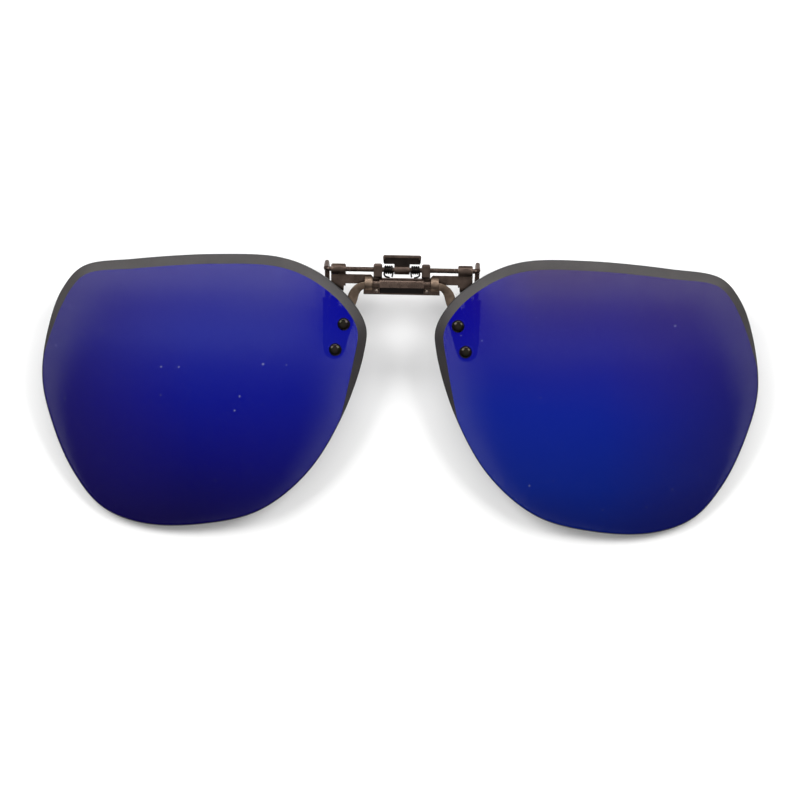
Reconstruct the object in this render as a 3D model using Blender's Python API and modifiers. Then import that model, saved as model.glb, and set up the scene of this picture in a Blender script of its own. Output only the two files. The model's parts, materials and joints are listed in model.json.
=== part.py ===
"""Clip-on flip-up sun lenses for spectacles: two rimless lenses hinged on a sprung four-claw clip.

Design frame, in millimetres: X across the face, Y up the lens, Z out of the lens's front.
The whole is then laid on its back on a flat surface, resting on the rear claws and the lens bottoms.
"""

import math

import bmesh
import bpy
import numpy as np
from mathutils import Matrix, Vector

MM = 0.001

# ---- driving dimensions, in millimetres ----
HINGE_Y = -0.15  # height of the flip hinge's axis, which is at Z = 0
ROD_Y, ROD_Z = 2.45, -0.95  # the clamp rod's axis
ROD_R = 0.475
RUN_GAP = 0.05  # clearance all round a moving rod or bar

SHEET = 0.5  # the base frame's sheet
PLATE_FRONT = -1.5  # front of the base frame's sheet
PLATE_BACK = PLATE_FRONT - SHEET
LUG_X, LUG_Y = (3.85, 5.5), (0.98, 3.55)
LUG_FRONT, CORNER_CUT = -0.1, 0.25
HOOK_X = (10.9, 13.75)
HOOK_END = 200  # the angle at which the hook's curl stops, from straight up the lens
OUTER_ARM_Y = (-0.45, 1.35)
CENTRE_X, CENTRE_Y = 7.4, (-2.5, -1.0)
ROOT_Y = -0.95  # how far down the lugs and the hooks' plates reach
PRONG_X, PRONG_W, PRONG_FLARE = 12.05, 1.6, 1.1
PRONG_Z, PRONG_END = -4.8, -12.9
FRONT_SLEEVE_HALF = (1.4, 0.85)  # half its width and half its thickness
FRONT_SLEEVE_TOP, REAR_SLEEVE_TOP, SLEEVE_TIP_Y = -5.3, -4.2, -14.0

CLAW_X, CLAW_TIP_X = 14.75, 14.3
CLAW_DEPTH, CLAW_RISE = 8.4, 0.3  # how far the rear claws stand behind and above the rod
CLAW_TIP = (-12.9, -7.8)
CLAW_BEND_R = 0.9
REAR_SLEEVE_R = 1.0
SLEEVE_SOFT = 0.45  # rounding of the sleeves' closed ends

BAR_R, BAR_END_X = 0.6, 6.8
CAM_X, CAM_HALF = 3.2, 0.43  # the bar's square part: half its length and half its side
DETENT_X, DETENT_TOP, DETENT_T = 2.6, -0.7, 0.14
EYE_X, EYE_R = (5.65, 7.2), 1.35
EYE_CAP = 0.35  # the eye's closed outer end
ARM_T, ARM_TIP_R = 0.6, 2.05
ARM_SWEEP = (  # points down the arm's middle line from the eye, each with the width there
    ((6.95, -0.55, -0.3), 1.35), ((7.6, -0.68, -0.4), 1.4), ((8.45, -1.2, -0.65), 1.6),
    ((9.15, -2.15, -0.87), 1.85), ((9.6, -3.4, -1.0), 2.05),
)
ARM_FLARE = ((2.6, 2.5), (1.3, 3.5), (0.0, 3.95))  # heights above the upper rivet, and the widths there

HOUSING_X, HOUSING_T = 4.3, 0.3
HOUSING_SHELF, HOUSING_FOOT = 0.65, 2.0  # how far below the hinge axis the housing turns and ends
EAR_X, EAR_TOP = (4.2, 5.45), 0.95
HOUSING_RIVET = (4.85, -1.6)
HOUSING_RIVET_R = 0.22
HOUSING_RIVET_HEAD = ((0.0, 0.22), (0.24, 0.18), (0.42, 0.0))  # radii and heights

TAB_X, TAB_Y = 3.7, (3.6, 5.35)
TAB_FRONT, TAB_BACK, TAB_WALL, TAB_SHEET = -0.75, -1.15, 0.95, 0.35
NECK_X, CRIMP_R = 1.5, 0.88
COIL_X, COIL_TURNS, COIL_STEPS, COIL_R, SPRING_R = (1.75, 3.4), 4, 12, 0.7, 0.17

LENS_BASE_R = 150.0  # radius of the lens's front sphere
LENS_POLE = (31.0, -20.5, 3.8)  # the sphere's foremost point, for the right lens
LENS_T = 1.8
FACET_MAX, FACET_RUN = 1.7, 13.0  # the front facet's full width, and the height over which it grows
FACET_MIN = 0.18
FACET_EASE = 0.6  # how much faster than evenly the facet's width grows at first
TEMPLE_X, TEMPLE_THINNING = (52.0, 66.0), 0.3  # where the facet thins towards the temple, and its loss
FACET_DROP = 0.5  # how deep the facet cuts for each unit of its width
FACET_START = ((69.7, -16.5), (11.8, -27.2))  # the line above which the facet grows
LENS_OUTLINE = (
    (69.8, -20.0), (68.5, -9.4), (65.9, -2.4), (62.0, 1.85), (52.0, 3.65), (36.0, 5.05),
    (23.6, 4.65), (16.5, 2.0), (10.0, -3.2), (6.8, -8.6), (7.0, -13.4), (10.7, -25.2),
    (17.6, -37.2), (27.0, -45.1), (38.0, -48.1), (50.0, -48.35), (58.0, -45.3),
    (63.6, -38.5), (67.8, -28.9),
)
LENS_SAMPLES = 76
LENS_RINGS = (0.72, 0.38)

RIVETS = {"upper": (11.07, -7.95), "lower": (12.63, -12.9)}
RIVET_R, RIVET_HEAD_R, RIVET_HEAD_H = 0.6, 1.25, 0.75
HOLE_GAP = 0.06
WASHER_R, WASHER_T = 1.35, 0.25
COLLAR_R, COLLAR_T = 1.0, 0.45
FACE_GAP = 0.04  # between faces that bear on each other
THROUGH = 6.0  # how far a cutter runs each way to go right through

# each finish is a colour, a roughness and a metallic value
SHEET_FINISH = ((0.060, 0.047, 0.040), 0.4, 0.9)
WIRE_FINISH = ((0.060, 0.047, 0.040), 0.35, 0.9)
ARM_FINISH = ((0.16, 0.12, 0.085), 0.4, 0.85)
RIVET_FINISH = ((0.022, 0.017, 0.014), 0.3, 0.9)
SMALL_RIVET_FINISH = ((0.25, 0.21, 0.18), 0.3, 1.0)
LEAF_FINISH = ((0.3, 0.3, 0.3), 0.3, 1.0)
COIL_FINISH = ((0.03, 0.028, 0.026), 0.3, 1.0)
LENS_FINISH = ((0.012, 0.015, 0.22), 0.06, 0.3)
SLEEVE_FINISH = ((0.012, 0.012, 0.012), 0.6, 0.0)
WASHER_FINISH = ((0.6, 0.6, 0.58), 0.4, 0.0)


# ---- scene and helpers ----
def clear_scene():
    for obj in list(bpy.data.objects):
        bpy.data.objects.remove(obj, do_unlink=True)


def collection(name):
    made = bpy.data.collections.new(name)
    bpy.context.scene.collection.children.link(made)
    return made


def material(name, colour, roughness, metallic):
    made = bpy.data.materials.new(name)
    made.use_nodes = True
    shader = made.node_tree.nodes["Principled BSDF"]
    shader.inputs["Base Color"].default_value = (*colour, 1.0)
    shader.inputs["Roughness"].default_value = roughness
    shader.inputs["Metallic"].default_value = metallic
    made.diffuse_color = (*colour, 1.0)
    return made


def add_object(name, mesh, finish, where):
    obj = bpy.data.objects.new(name, mesh)
    where.objects.link(obj)
    if finish:
        colour, roughness, metallic = finish
        mesh.materials.append(material(name, colour, roughness, metallic))
    return obj


def from_bmesh(name, bm, finish=None, where=None):
    bmesh.ops.recalc_face_normals(bm, faces=bm.faces)
    mesh = bpy.data.meshes.new(name)
    bm.to_mesh(mesh)
    bm.free()
    mesh.shade_smooth()
    mesh.set_sharp_from_angle(angle=math.radians(35))
    return add_object(name, mesh, finish, where or HELPERS)


def curve_mesh(name, curve, finish=None, where=None):
    """A curve object turned into one closed mesh with its caps welded on."""
    holder = bpy.data.objects.new(name + "_curve", curve)
    HELPERS.objects.link(holder)
    bpy.context.view_layer.update()
    graph = bpy.context.evaluated_depsgraph_get()
    mesh = bpy.data.meshes.new_from_object(holder.evaluated_get(graph))
    bpy.data.objects.remove(holder, do_unlink=True)
    bm = bmesh.new()
    bm.from_mesh(mesh)
    bpy.data.meshes.remove(mesh)
    bmesh.ops.remove_doubles(bm, verts=bm.verts, dist=1e-6)
    return from_bmesh(name, bm, finish, where)


def plate(name, outlines, low, high, axes="XYZ", finish=None, where=None):
    """A flat outline, with any holes, extruded between low and high along the third axis named."""
    curve = bpy.data.curves.new(name, "CURVE")
    curve.dimensions = "2D"
    curve.fill_mode = "BOTH"
    curve.extrude = (high - low) / 2 * MM
    for outline in outlines:
        spline = curve.splines.new("POLY")
        spline.points.add(len(outline) - 1)
        for point, (a, b) in zip(spline.points, outline):
            point.co = (a * MM, b * MM, 0.0, 1.0)
        spline.use_cyclic_u = True
    obj = curve_mesh(name, curve, finish, where)
    obj.data.transform(Matrix.Translation((0, 0, (high + low) / 2 * MM)))
    columns = [Vector([float(letter == axis) for letter in "XYZ"]) for axis in axes]
    turn = Matrix(columns).transposed().to_4x4()
    obj.data.transform(turn)
    if turn.determinant() < 0:
        obj.data.flip_normals()
    return obj


def wire(name, points, radius, finish=None, where=None, resolution=2):
    curve = bpy.data.curves.new(name, "CURVE")
    curve.dimensions = "3D"
    curve.bevel_depth = radius * MM
    curve.bevel_resolution = resolution
    curve.use_fill_caps = True
    spline = curve.splines.new("POLY")
    spline.points.add(len(points) - 1)
    for point, place in zip(spline.points, points):
        point.co = (*(Vector(place) * MM), 1.0)
    return curve_mesh(name, curve, finish, where)


def rod(name, centre, radius, low, high, axis, finish=None, where=None, sides=20):
    """A cylinder along axis, a letter or a direction, from low to high past centre."""
    bm = bmesh.new()
    bmesh.ops.create_cone(
        bm, cap_ends=True, segments=sides, radius1=radius * MM, radius2=radius * MM,
        depth=(high - low) * MM,
    )
    direction = Vector([float(axis == letter) for letter in "XYZ"]) if isinstance(axis, str) else axis
    turn = direction.to_track_quat("Z", "Y").to_matrix().to_4x4()
    middle = Vector(centre) * MM + direction * ((high + low) / 2 * MM)
    bmesh.ops.transform(bm, matrix=Matrix.Translation(middle) @ turn, verts=bm.verts)
    return from_bmesh(name, bm, finish, where)


def box(name, low, high, finish=None, where=None):
    bm = bmesh.new()
    bmesh.ops.create_cube(bm, size=1.0)
    size = (Vector(high) - Vector(low)) * MM
    middle = (Vector(high) + Vector(low)) / 2 * MM
    bmesh.ops.transform(bm, matrix=Matrix.LocRotScale(middle, None, size), verts=bm.verts)
    return from_bmesh(name, bm, finish, where)


def turned(name, profile, place, finish, where, steps=20):
    """A profile of (radius, height) pairs, from the top down its outer side, turned about place's Z."""
    closed = profile[0] == profile[-1]
    points = [(r * MM, 0.0, z * MM) for r, z in (profile[:-1] if closed else profile)]
    edges = [(i, (i + 1) % len(points)) for i in range(len(profile) - 1)]
    mesh = bpy.data.meshes.new(name)
    mesh.from_pydata(points, edges, [])
    obj = add_object(name, mesh, finish, where)
    screw = obj.modifiers.new("turn", "SCREW")
    screw.axis = "Z"
    screw.steps = steps
    screw.render_steps = steps
    screw.use_merge_vertices = True
    screw.merge_threshold = 1e-6
    bake_modifiers(obj)
    obj.data.transform(place)
    obj.data.shade_smooth()
    obj.data.set_sharp_from_angle(angle=math.radians(35))
    return obj


def bake_modifiers(obj):
    bpy.context.view_layer.update()
    graph = bpy.context.evaluated_depsgraph_get()
    old = obj.data
    obj.data = bpy.data.meshes.new_from_object(obj.evaluated_get(graph))
    obj.modifiers.clear()
    bpy.data.meshes.remove(old)


def combine(obj, others, operation):
    """Joins the other solids to obj, or cuts them from it, and removes them."""
    for other in others:
        modifier = obj.modifiers.new(operation.lower(), "BOOLEAN")
        modifier.operation = operation
        modifier.object = other
        bake_modifiers(obj)
        bpy.data.objects.remove(other, do_unlink=True)
    return obj


def mirrored(obj, name):
    """A copy of obj on the other side of the middle plane, with a material of its own."""
    mesh = obj.data.copy()
    mesh.transform(Matrix.Diagonal((-1, 1, 1, 1)))
    mesh.flip_normals()
    twin = bpy.data.objects.new(name, mesh)
    PART.objects.link(twin)
    own = mesh.materials[0].copy()
    own.name = name
    mesh.materials[0] = own
    return twin


def arc(centre, radius, start, end, count):
    """Points on an arc, with its angles in degrees."""
    angles = np.radians(np.linspace(start, end, count))
    return [(centre[0] + radius * math.cos(a), centre[1] + radius * math.sin(a)) for a in angles]


def rounded_path(corners, radius, steps=4):
    """A polyline in space with each inner corner rounded."""
    points = [Vector(corners[0])]
    for before, corner, after in zip(corners, corners[1:], corners[2:]):
        corner = Vector(corner)
        start = corner + (Vector(before) - corner).normalized() * radius
        end = corner + (Vector(after) - corner).normalized() * radius
        for t in np.linspace(0, 1, steps + 1):
            points.append(start.lerp(corner, t).lerp(corner.lerp(end, t), t))
    return points + [Vector(corners[-1])]


def ribbon(name, stations, thickness, finish=None, where=None):
    """A strip lofted through stations, each a centre, a width and the way its face looks."""
    bm = bmesh.new()
    rows = []
    last = len(stations) - 1
    for i, (centre, width, face) in enumerate(stations):
        ahead = (stations[min(i + 1, last)][0] - stations[max(i - 1, 0)][0]).normalized()
        side = ahead.cross(face).normalized() * width / 2
        out = side.cross(ahead).normalized() * thickness / 2
        corners = (-side - out, side - out, side + out, out - side)
        rows.append([bm.verts.new((centre + corner) * MM) for corner in corners])
    bm.faces.new(rows[0])
    bm.faces.new(rows[-1])
    for low, high in zip(rows, rows[1:]):
        for k in range(4):
            bm.faces.new((low[k], low[(k + 1) % 4], high[(k + 1) % 4], high[k]))
    return from_bmesh(name, bm, finish, where)


def closed_spline(points, samples, fine=24):
    """An even sampling of the smooth closed curve through the points."""
    knots = np.array(points, float)
    dense = []
    for i in range(len(knots)):
        p0, p1, p2, p3 = (knots[(i + k) % len(knots)] for k in (-1, 0, 1, 2))
        t = np.cumsum([0] + [math.sqrt(np.linalg.norm(b - a)) for a, b in ((p0, p1), (p1, p2), (p2, p3))])
        for u in np.linspace(t[1], t[2], fine, endpoint=False):
            a1 = p0 + (p1 - p0) * (u - t[0]) / (t[1] - t[0])
            a2 = p1 + (p2 - p1) * (u - t[1]) / (t[2] - t[1])
            a3 = p2 + (p3 - p2) * (u - t[2]) / (t[3] - t[2])
            b1 = a1 + (a2 - a1) * (u - t[0]) / (t[2] - t[0])
            b2 = a2 + (a3 - a2) * (u - t[1]) / (t[3] - t[1])
            dense.append(b1 + (b2 - b1) * (u - t[1]) / (t[2] - t[1]))
    dense = np.array(dense + [dense[0]])
    run = np.concatenate([[0], np.cumsum(np.linalg.norm(np.diff(dense, axis=0), axis=1))])
    at = np.linspace(0, run[-1], samples, endpoint=False)
    return np.stack([np.interp(at, run, dense[:, k]) for k in (0, 1)], axis=1)


# ---- lenses ----
def lens_front(x, y):
    pole_x, pole_y, pole_z = LENS_POLE
    fall = LENS_BASE_R - np.sqrt(LENS_BASE_R**2 - (x - pole_x) ** 2 - (y - pole_y) ** 2)
    return pole_z - fall


def lens_normal(x, y):
    pole_x, pole_y, pole_z = LENS_POLE
    return Vector((x - pole_x, y - pole_y, lens_front(x, y) - pole_z + LENS_BASE_R)).normalized()


def facet_width(outline):
    """The front facet's width at each outline point: none low down, and full along the top and the nose."""
    (x0, y0), (x1, y1) = FACET_START
    line = y0 + (outline[:, 0] - x0) * (y1 - y0) / (x1 - x0)
    rise = np.clip((outline[:, 1] - line) / FACET_RUN, 0, 1)
    temple = np.clip((outline[:, 0] - TEMPLE_X[0]) / (TEMPLE_X[1] - TEMPLE_X[0]), 0, 1)
    rise *= 1 - TEMPLE_THINNING * temple
    return np.maximum(FACET_MAX * rise * (1 + FACET_EASE - FACET_EASE * rise), FACET_MIN)


def inset(outline, width):
    """The outline moved inwards by a width that may differ from point to point."""
    along = np.roll(outline, -1, axis=0) - np.roll(outline, 1, axis=0)
    along /= np.linalg.norm(along, axis=1)[:, None]
    inward = np.stack([-along[:, 1], along[:, 0]], axis=1)
    return outline + inward * width[:, None]


def make_lens(name):
    """A spherical lens cut to its outline, lofted as rings from the back's middle to the front's."""
    outline = closed_spline(LENS_OUTLINE, LENS_SAMPLES)
    width = facet_width(outline)
    face = inset(outline, width)
    middle = outline.mean(axis=0)
    rings = []
    for share in reversed(LENS_RINGS):
        ring = middle + (outline - middle) * share
        rings.append((ring, lens_front(*ring.T) - LENS_T))
    rings.append((outline, lens_front(*outline.T) - LENS_T))
    rings.append((outline, lens_front(*outline.T) - FACET_DROP * width))
    rings.append((face, lens_front(*face.T)))
    for share in LENS_RINGS:
        ring = middle + (face - middle) * share
        rings.append((ring, lens_front(*ring.T)))
    bm = bmesh.new()
    rows = [[bm.verts.new((x * MM, y * MM, z * MM)) for (x, y), z in zip(ring, heights)]
            for ring, heights in rings]
    back = bm.verts.new((*(middle * MM), (lens_front(*middle) - LENS_T) * MM))
    front = bm.verts.new((*(middle * MM), lens_front(*middle) * MM))
    for i in range(LENS_SAMPLES):
        j = (i + 1) % LENS_SAMPLES
        bm.faces.new((back, rows[0][j], rows[0][i]))
        for low, high in zip(rows, rows[1:]):
            bm.faces.new((low[i], low[j], high[j], high[i]))
        bm.faces.new((front, rows[-1][i], rows[-1][j]))
    return combine(from_bmesh(name, bm, LENS_FINISH, PART), lens_holes(), "DIFFERENCE")


def lens_holes():
    radius = RIVET_R + HOLE_GAP
    feet = [(*lens_foot(at), 0) for at in RIVETS.values()]
    return [rod("hole", foot, radius, -THROUGH, THROUGH, RIVET_AXIS) for foot in feet]


def lens_foot(at):
    """Where the rivet line through a point of the front face crosses Z = 0."""
    x, y = at
    step = lens_front(x, y) / RIVET_AXIS.z
    return x - RIVET_AXIS.x * step, y - RIVET_AXIS.y * step


def rivet_place(at, depth):
    """A frame on the rivet's axis, depth below the lens's front face, with Z along the axis."""
    point = Vector((*at, lens_front(*at))) - RIVET_AXIS * depth
    turn = RIVET_AXIS.to_track_quat("Z", "Y").to_matrix().to_4x4()
    return Matrix.Translation(point * MM) @ turn


RIVET_AXIS = lens_normal(*np.mean(list(RIVETS.values()), axis=0))
LENS_BACK_GAP = 0.09  # the flat washers clear the lens's curve by this at their middle
PAD_DEPTH = LENS_T + LENS_BACK_GAP + WASHER_T + FACE_GAP


# ---- lens fixings ----
def make_rivet(name, at):
    bevel = 0.15
    stem = PAD_DEPTH + ARM_T + FACE_GAP + COLLAR_T + bevel
    flatten = RIVET_HEAD_H / RIVET_HEAD_R
    dome = arc((0, 0), RIVET_HEAD_R, 75, 0, 6)
    head = [(0.0, LENS_BACK_GAP + RIVET_HEAD_H)] + [(r, LENS_BACK_GAP + z * flatten) for r, z in dome]
    profile = head + [(RIVET_R, LENS_BACK_GAP), (RIVET_R, bevel - stem)]
    profile += [(RIVET_R - bevel, -stem), (0.0, -stem)]
    return turned(name, profile, rivet_place(at, 0.0), RIVET_FINISH, PART)


def make_ring(name, at, inner, outer, thickness, depth, finish):
    """A flat ring round a rivet's stem, its front depth below the lens's front face."""
    soft = min(0.1, thickness / 4)
    profile = [
        (inner, 0.0), (outer - soft, 0.0), (outer, -soft), (outer, soft - thickness),
        (outer - soft, -thickness), (inner, -thickness), (inner, 0.0),
    ]
    return turned(name, profile, rivet_place(at, depth), finish, PART)


def make_arm(name):
    """A closed eye on the hinge bar's end, a curved strip and the pad that the lens is riveted to."""
    upper, lower = (
        Vector((*at, lens_front(*at))) - RIVET_AXIS * (PAD_DEPTH + ARM_T / 2) for at in RIVETS.values()
    )
    run = (lower - upper).normalized()
    stations = [(Vector(centre), width) for centre, width in ARM_SWEEP]
    stations += [(upper - run * height, width) for height, width in ARM_FLARE]
    stations.append((lower, 2 * ARM_TIP_R))
    for share in (0.45, 0.75, 0.92, 0.985):
        stations.append((lower + run * ARM_TIP_R * share, 2 * ARM_TIP_R * math.sqrt(1 - share**2)))
    turn_over = len(ARM_SWEEP)
    faces = [Vector((0, 0, 1)).lerp(RIVET_AXIS, min(i / turn_over, 1)) for i in range(len(stations))]
    stations = [(centre, width, face) for (centre, width), face in zip(stations, faces)]
    arm = ribbon(name, stations, ARM_T, ARM_FINISH, PART)
    combine(arm, [rod("eye", (0, HINGE_Y, 0), EYE_R, *EYE_X, "X", sides=28)], "UNION")
    eye_floor = EYE_X[1] - EYE_CAP
    bore = rod("bore", (0, HINGE_Y, 0), BAR_R + RUN_GAP, EYE_X[0] - 1, eye_floor, "X", sides=24)
    return combine(arm, [bore, *lens_holes()], "DIFFERENCE")


# ---- hinge ----
def make_hinge_bar():
    """A round bar whose middle is square, so that the detent spring holds it at each quarter turn."""
    bar = rod("hinge_bar", (0, HINGE_Y, 0), BAR_R, -BAR_END_X, BAR_END_X, "X",
              WIRE_FINISH, PART, sides=24)
    flats = []
    for side in (-1, 1):
        for low, high in (((-2, CAM_HALF), (2, 2)), ((CAM_HALF, -2), (2, 2))):
            corner_a = (-CAM_X, HINGE_Y + side * low[0], side * low[1])
            corner_b = (CAM_X, HINGE_Y + side * high[0], side * high[1])
            low_corner = [min(a, b) for a, b in zip(corner_a, corner_b)]
            high_corner = [max(a, b) for a, b in zip(corner_a, corner_b)]
            flats.append(box("flat", low_corner, high_corner))
    return combine(bar, flats, "DIFFERENCE")


def make_detent_spring():
    """A bowed leaf between the base frame and the bar's square."""
    low = PLATE_FRONT + FACE_GAP + DETENT_T
    upper = [(BAR_R * share, low + (DETENT_TOP - low) * math.cos(share * math.pi / 2) ** 2)
             for share in np.linspace(-1, 1, 11)]
    lower = [(y, z - DETENT_T) for y, z in reversed(upper)]
    outline = [(y + HINGE_Y, z) for y, z in upper + lower]
    return plate("detent_spring", [outline], -DETENT_X, DETENT_X, "YZX", LEAF_FINISH, PART)


def make_housing():
    """A sheet folded over the hinge bar, with an ear at each end riveted to the base frame."""
    y, t = HINGE_Y, HOUSING_T
    foot = PLATE_FRONT + FACE_GAP
    knee, edge = foot + t, y - HOUSING_FOOT
    inner_r = BAR_R + RUN_GAP + FACE_GAP / 2
    outer_r = inner_r + t
    outline = [(y + outer_r, foot)] + arc((y, 0), outer_r, 0, 90, 9)
    outline += [(y - HOUSING_SHELF, outer_r), (edge, knee), (edge, foot)]
    outline += [(edge + t, foot), (edge + t, knee), (y - HOUSING_SHELF + t / 2, inner_r)]
    outline += arc((y, 0), inner_r, 90, 0, 9) + [(y + inner_r, foot)]
    shell = plate("hinge_housing", [outline], -HOUSING_X, HOUSING_X, "YZX", SHEET_FINISH, PART)
    ears = []
    for side in (-1, 1):
        low, high = sorted((side * EAR_X[0], side * EAR_X[1]))
        ears.append(box("ear", (low, edge, foot), (high, y - EAR_TOP, knee)))
    combine(shell, ears, "UNION")
    return combine(shell, rivet_holes(), "DIFFERENCE")


def rivet_holes():
    x, y = HOUSING_RIVET
    radius = HOUSING_RIVET_R + FACE_GAP
    return [rod("hole", (side * x, y, 0), radius, -THROUGH, THROUGH, "Z", sides=14) for side in (-1, 1)]


def make_housing_rivet(name, side):
    """A small rivet with a domed head, peened flush at the frame's back."""
    x, y = HOUSING_RIVET
    top = PLATE_FRONT + FACE_GAP + HOUSING_T + FACE_GAP
    back = PLATE_BACK + FACE_GAP / 2
    profile = [(r, top + height) for r, height in HOUSING_RIVET_HEAD]
    profile += [(HOUSING_RIVET_R, top), (HOUSING_RIVET_R, back), (0.0, back)]
    place = Matrix.Translation((side * x * MM, y * MM, 0))
    return turned(name, profile, place, SMALL_RIVET_FINISH, PART, steps=14)


# ---- base frame ----
def make_base_frame():
    """One folded sheet: centre plate, two arms, lugs and hooks round the clamp rod, and the front prongs."""
    hook_in, hook_out = HOOK_X
    arm_low, arm_high = OUTER_ARM_Y
    lug_in, lug_out = LUG_X
    arm_in, arm_top = lug_out + 0.5, 0.6
    lap = 0.1  # how far a joined shape runs into its neighbour
    half = [
        (CENTRE_X, CENTRE_Y[0]), (CENTRE_X, CENTRE_Y[1]), (arm_in, CENTRE_Y[1]),
        (arm_in, arm_low), (hook_in, arm_low), (hook_in, ROOT_Y), (hook_out, ROOT_Y),
        (hook_out, arm_high), (arm_in, arm_high), (lug_out - 2 * lap, arm_top),
        (lug_in + lap, arm_top), (lug_in + lap, CENTRE_Y[1] + lap),
    ]
    outline = half + [(-x, y) for x, y in reversed(half)]
    frame = plate("base_frame", [outline], PLATE_BACK, PLATE_FRONT, "XYZ", SHEET_FINISH, PART)
    extra = []
    for side in (-1, 1):
        extra += [make_hook(side), make_lug(side), make_prong(side)]
    combine(frame, extra, "UNION")
    return combine(frame, rivet_holes(), "DIFFERENCE")


def make_hook(side):
    """The sheet's edge curled forwards right round the rod, its upper corners cut off."""
    centre = (ROD_Y, ROD_Z)
    inner = ROD_Z - PLATE_FRONT
    outer = inner + SHEET
    root = OUTER_ARM_Y[1] - 0.2
    outline = [(root, PLATE_BACK)] + arc(centre, outer, -90, HOOK_END, 19)
    outline += arc(centre, inner, HOOK_END, -90, 19) + [(root, PLATE_FRONT)]
    low, high = sorted((side * HOOK_X[0], side * HOOK_X[1]))
    hook = plate("hook", [outline], low, high, "YZX")
    return combine(hook, [corner_cutter(low, high, root - 1, ROD_Y + outer)], "INTERSECT")


def corner_cutter(low, high, bottom, top):
    """A block whose upper corners, seen from the front, are cut off."""
    cut = CORNER_CUT
    outline = [(low, bottom), (high, bottom), (high, top - cut), (high - cut, top), (low + cut, top),
               (low, top - cut)]
    return plate("cutter", [outline], -THROUGH, THROUGH)


def make_lug(side):
    """A block folded round the rod, with its corners cut off."""
    (low_y, high_y), front, cut = LUG_Y, LUG_FRONT, CORNER_CUT
    outline = [
        (ROOT_Y, PLATE_BACK), (high_y - cut, PLATE_BACK), (high_y, PLATE_BACK + cut),
        (high_y, front - cut), (high_y - cut, front), (low_y + cut, front), (low_y, front - cut),
        (low_y, PLATE_FRONT), (ROOT_Y, PLATE_FRONT),
    ]
    bore = arc((ROD_Y, ROD_Z), ROD_R + RUN_GAP, 0, 337.5, 16)
    low, high = sorted((side * LUG_X[0], side * LUG_X[1]))
    lug = plate("lug", [outline, bore], low, high, "YZX")
    return combine(lug, [corner_cutter(low, high, ROOT_Y - 1, high_y)], "INTERSECT")


def make_prong(side):
    """A strip from the outer plate that steps back behind the lens and down, bending outwards."""
    root_z = (PLATE_FRONT + PLATE_BACK) / 2
    line = [
        (-0.5, root_z), (-1.3, root_z - 0.05), (-2.1, root_z - 0.5), (-3.2, PRONG_Z + 1.0),
        (-4.1, PRONG_Z + 0.25), (-5.0, PRONG_Z), (PRONG_END, PRONG_Z - 0.1),
    ]
    bend = (0.0, 0.0, 0.12, 0.5, 0.88, 1.0, 1.0)
    face = Vector((0, 0, 1))
    stations = [
        (Vector((side * (PRONG_X + PRONG_FLARE * share), y, z)), PRONG_W, face)
        for (y, z), share in zip(line, bend)
    ]
    return ribbon("prong", stations, SHEET)


def make_front_sleeve(name):
    """A soft cap over the prong's end, open at its top."""
    x = PRONG_X + PRONG_FLARE
    half_w, half_t = FRONT_SLEEVE_HALF
    top, tip = FRONT_SLEEVE_TOP, SLEEVE_TIP_Y
    bm = bmesh.new()
    bmesh.ops.create_cone(bm, cap_ends=True, segments=20, radius1=MM, radius2=MM, depth=(top - tip) * MM)
    centre = Vector((x, (top + tip) / 2, PRONG_Z - 0.05)) * MM
    turn = Matrix.Rotation(-math.pi / 2, 4, "X")
    size = Matrix.Diagonal((half_w, half_t, 1, 1))
    bmesh.ops.transform(bm, matrix=Matrix.Translation(centre) @ turn @ size, verts=bm.verts)
    tip_edges = [e for e in bm.edges if all(v.co.y < centre.y for v in e.verts)]
    bmesh.ops.bevel(bm, geom=tip_edges, offset=SLEEVE_SOFT * MM, segments=3, affect="EDGES", profile=0.5)
    sleeve = from_bmesh(name, bm, SLEEVE_FINISH, PART)
    play, lean = 0.05, 0.1  # the prong's slack, and how far it leans back towards its end
    half_x, half_z = PRONG_W / 2 + play, SHEET / 2 + play
    cavity = box("cavity", (x - half_x, PRONG_END - 3 * play, PRONG_Z - half_z - lean - play / 2),
                 (x + half_x, top + 1, PRONG_Z + half_z + play / 2))
    return combine(sleeve, [cavity], "DIFFERENCE")


# ---- clamp ----
def claw_corners(side):
    heel_z = ROD_Z - CLAW_DEPTH
    tip_y, tip_z = CLAW_TIP
    return [
        Vector((side * CLAW_X, ROD_Y, ROD_Z)),
        Vector((side * CLAW_X, ROD_Y + CLAW_RISE, heel_z)),
        Vector((side * CLAW_TIP_X, tip_y, tip_z)),
    ]


def make_clamp_rod():
    """One wire: the rod in the middle, bent back at each end and then down as a rear claw."""
    corners = claw_corners(-1)[::-1] + claw_corners(1)
    return wire("clamp_rod", rounded_path(corners, CLAW_BEND_R), ROD_R, WIRE_FINISH, PART)


def make_rear_sleeve(name):
    """A soft round cap over the claw's end, open at its top."""
    _, heel, tip = claw_corners(1)
    run = (tip - heel).normalized()
    start = heel + run * ((REAR_SLEEVE_TOP - heel.y) / run.y)
    end = heel + run * ((SLEEVE_TIP_Y - heel.y) / run.y)
    length = (end - start).length
    r, lip, soft = REAR_SLEEVE_R, 0.1, SLEEVE_SOFT
    bore, depth = ROD_R + FACE_GAP, (tip - start).length + lip
    profile = [(0.0, -depth), (bore, -depth), (bore, 0.0), (r - lip, 0.0), (r, -lip), (r, soft - length)]
    profile += [(r - soft + soft * math.cos(a), soft - length - soft * math.sin(a))
                for a in np.radians((30, 60, 90))]
    profile.append((0.0, -length))
    turn = (-run).to_track_quat("Z", "Y").to_matrix().to_4x4()
    place = Matrix.Translation(start * MM) @ turn
    return turned(name, profile, place, SLEEVE_FINISH, PART, steps=18)


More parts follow.
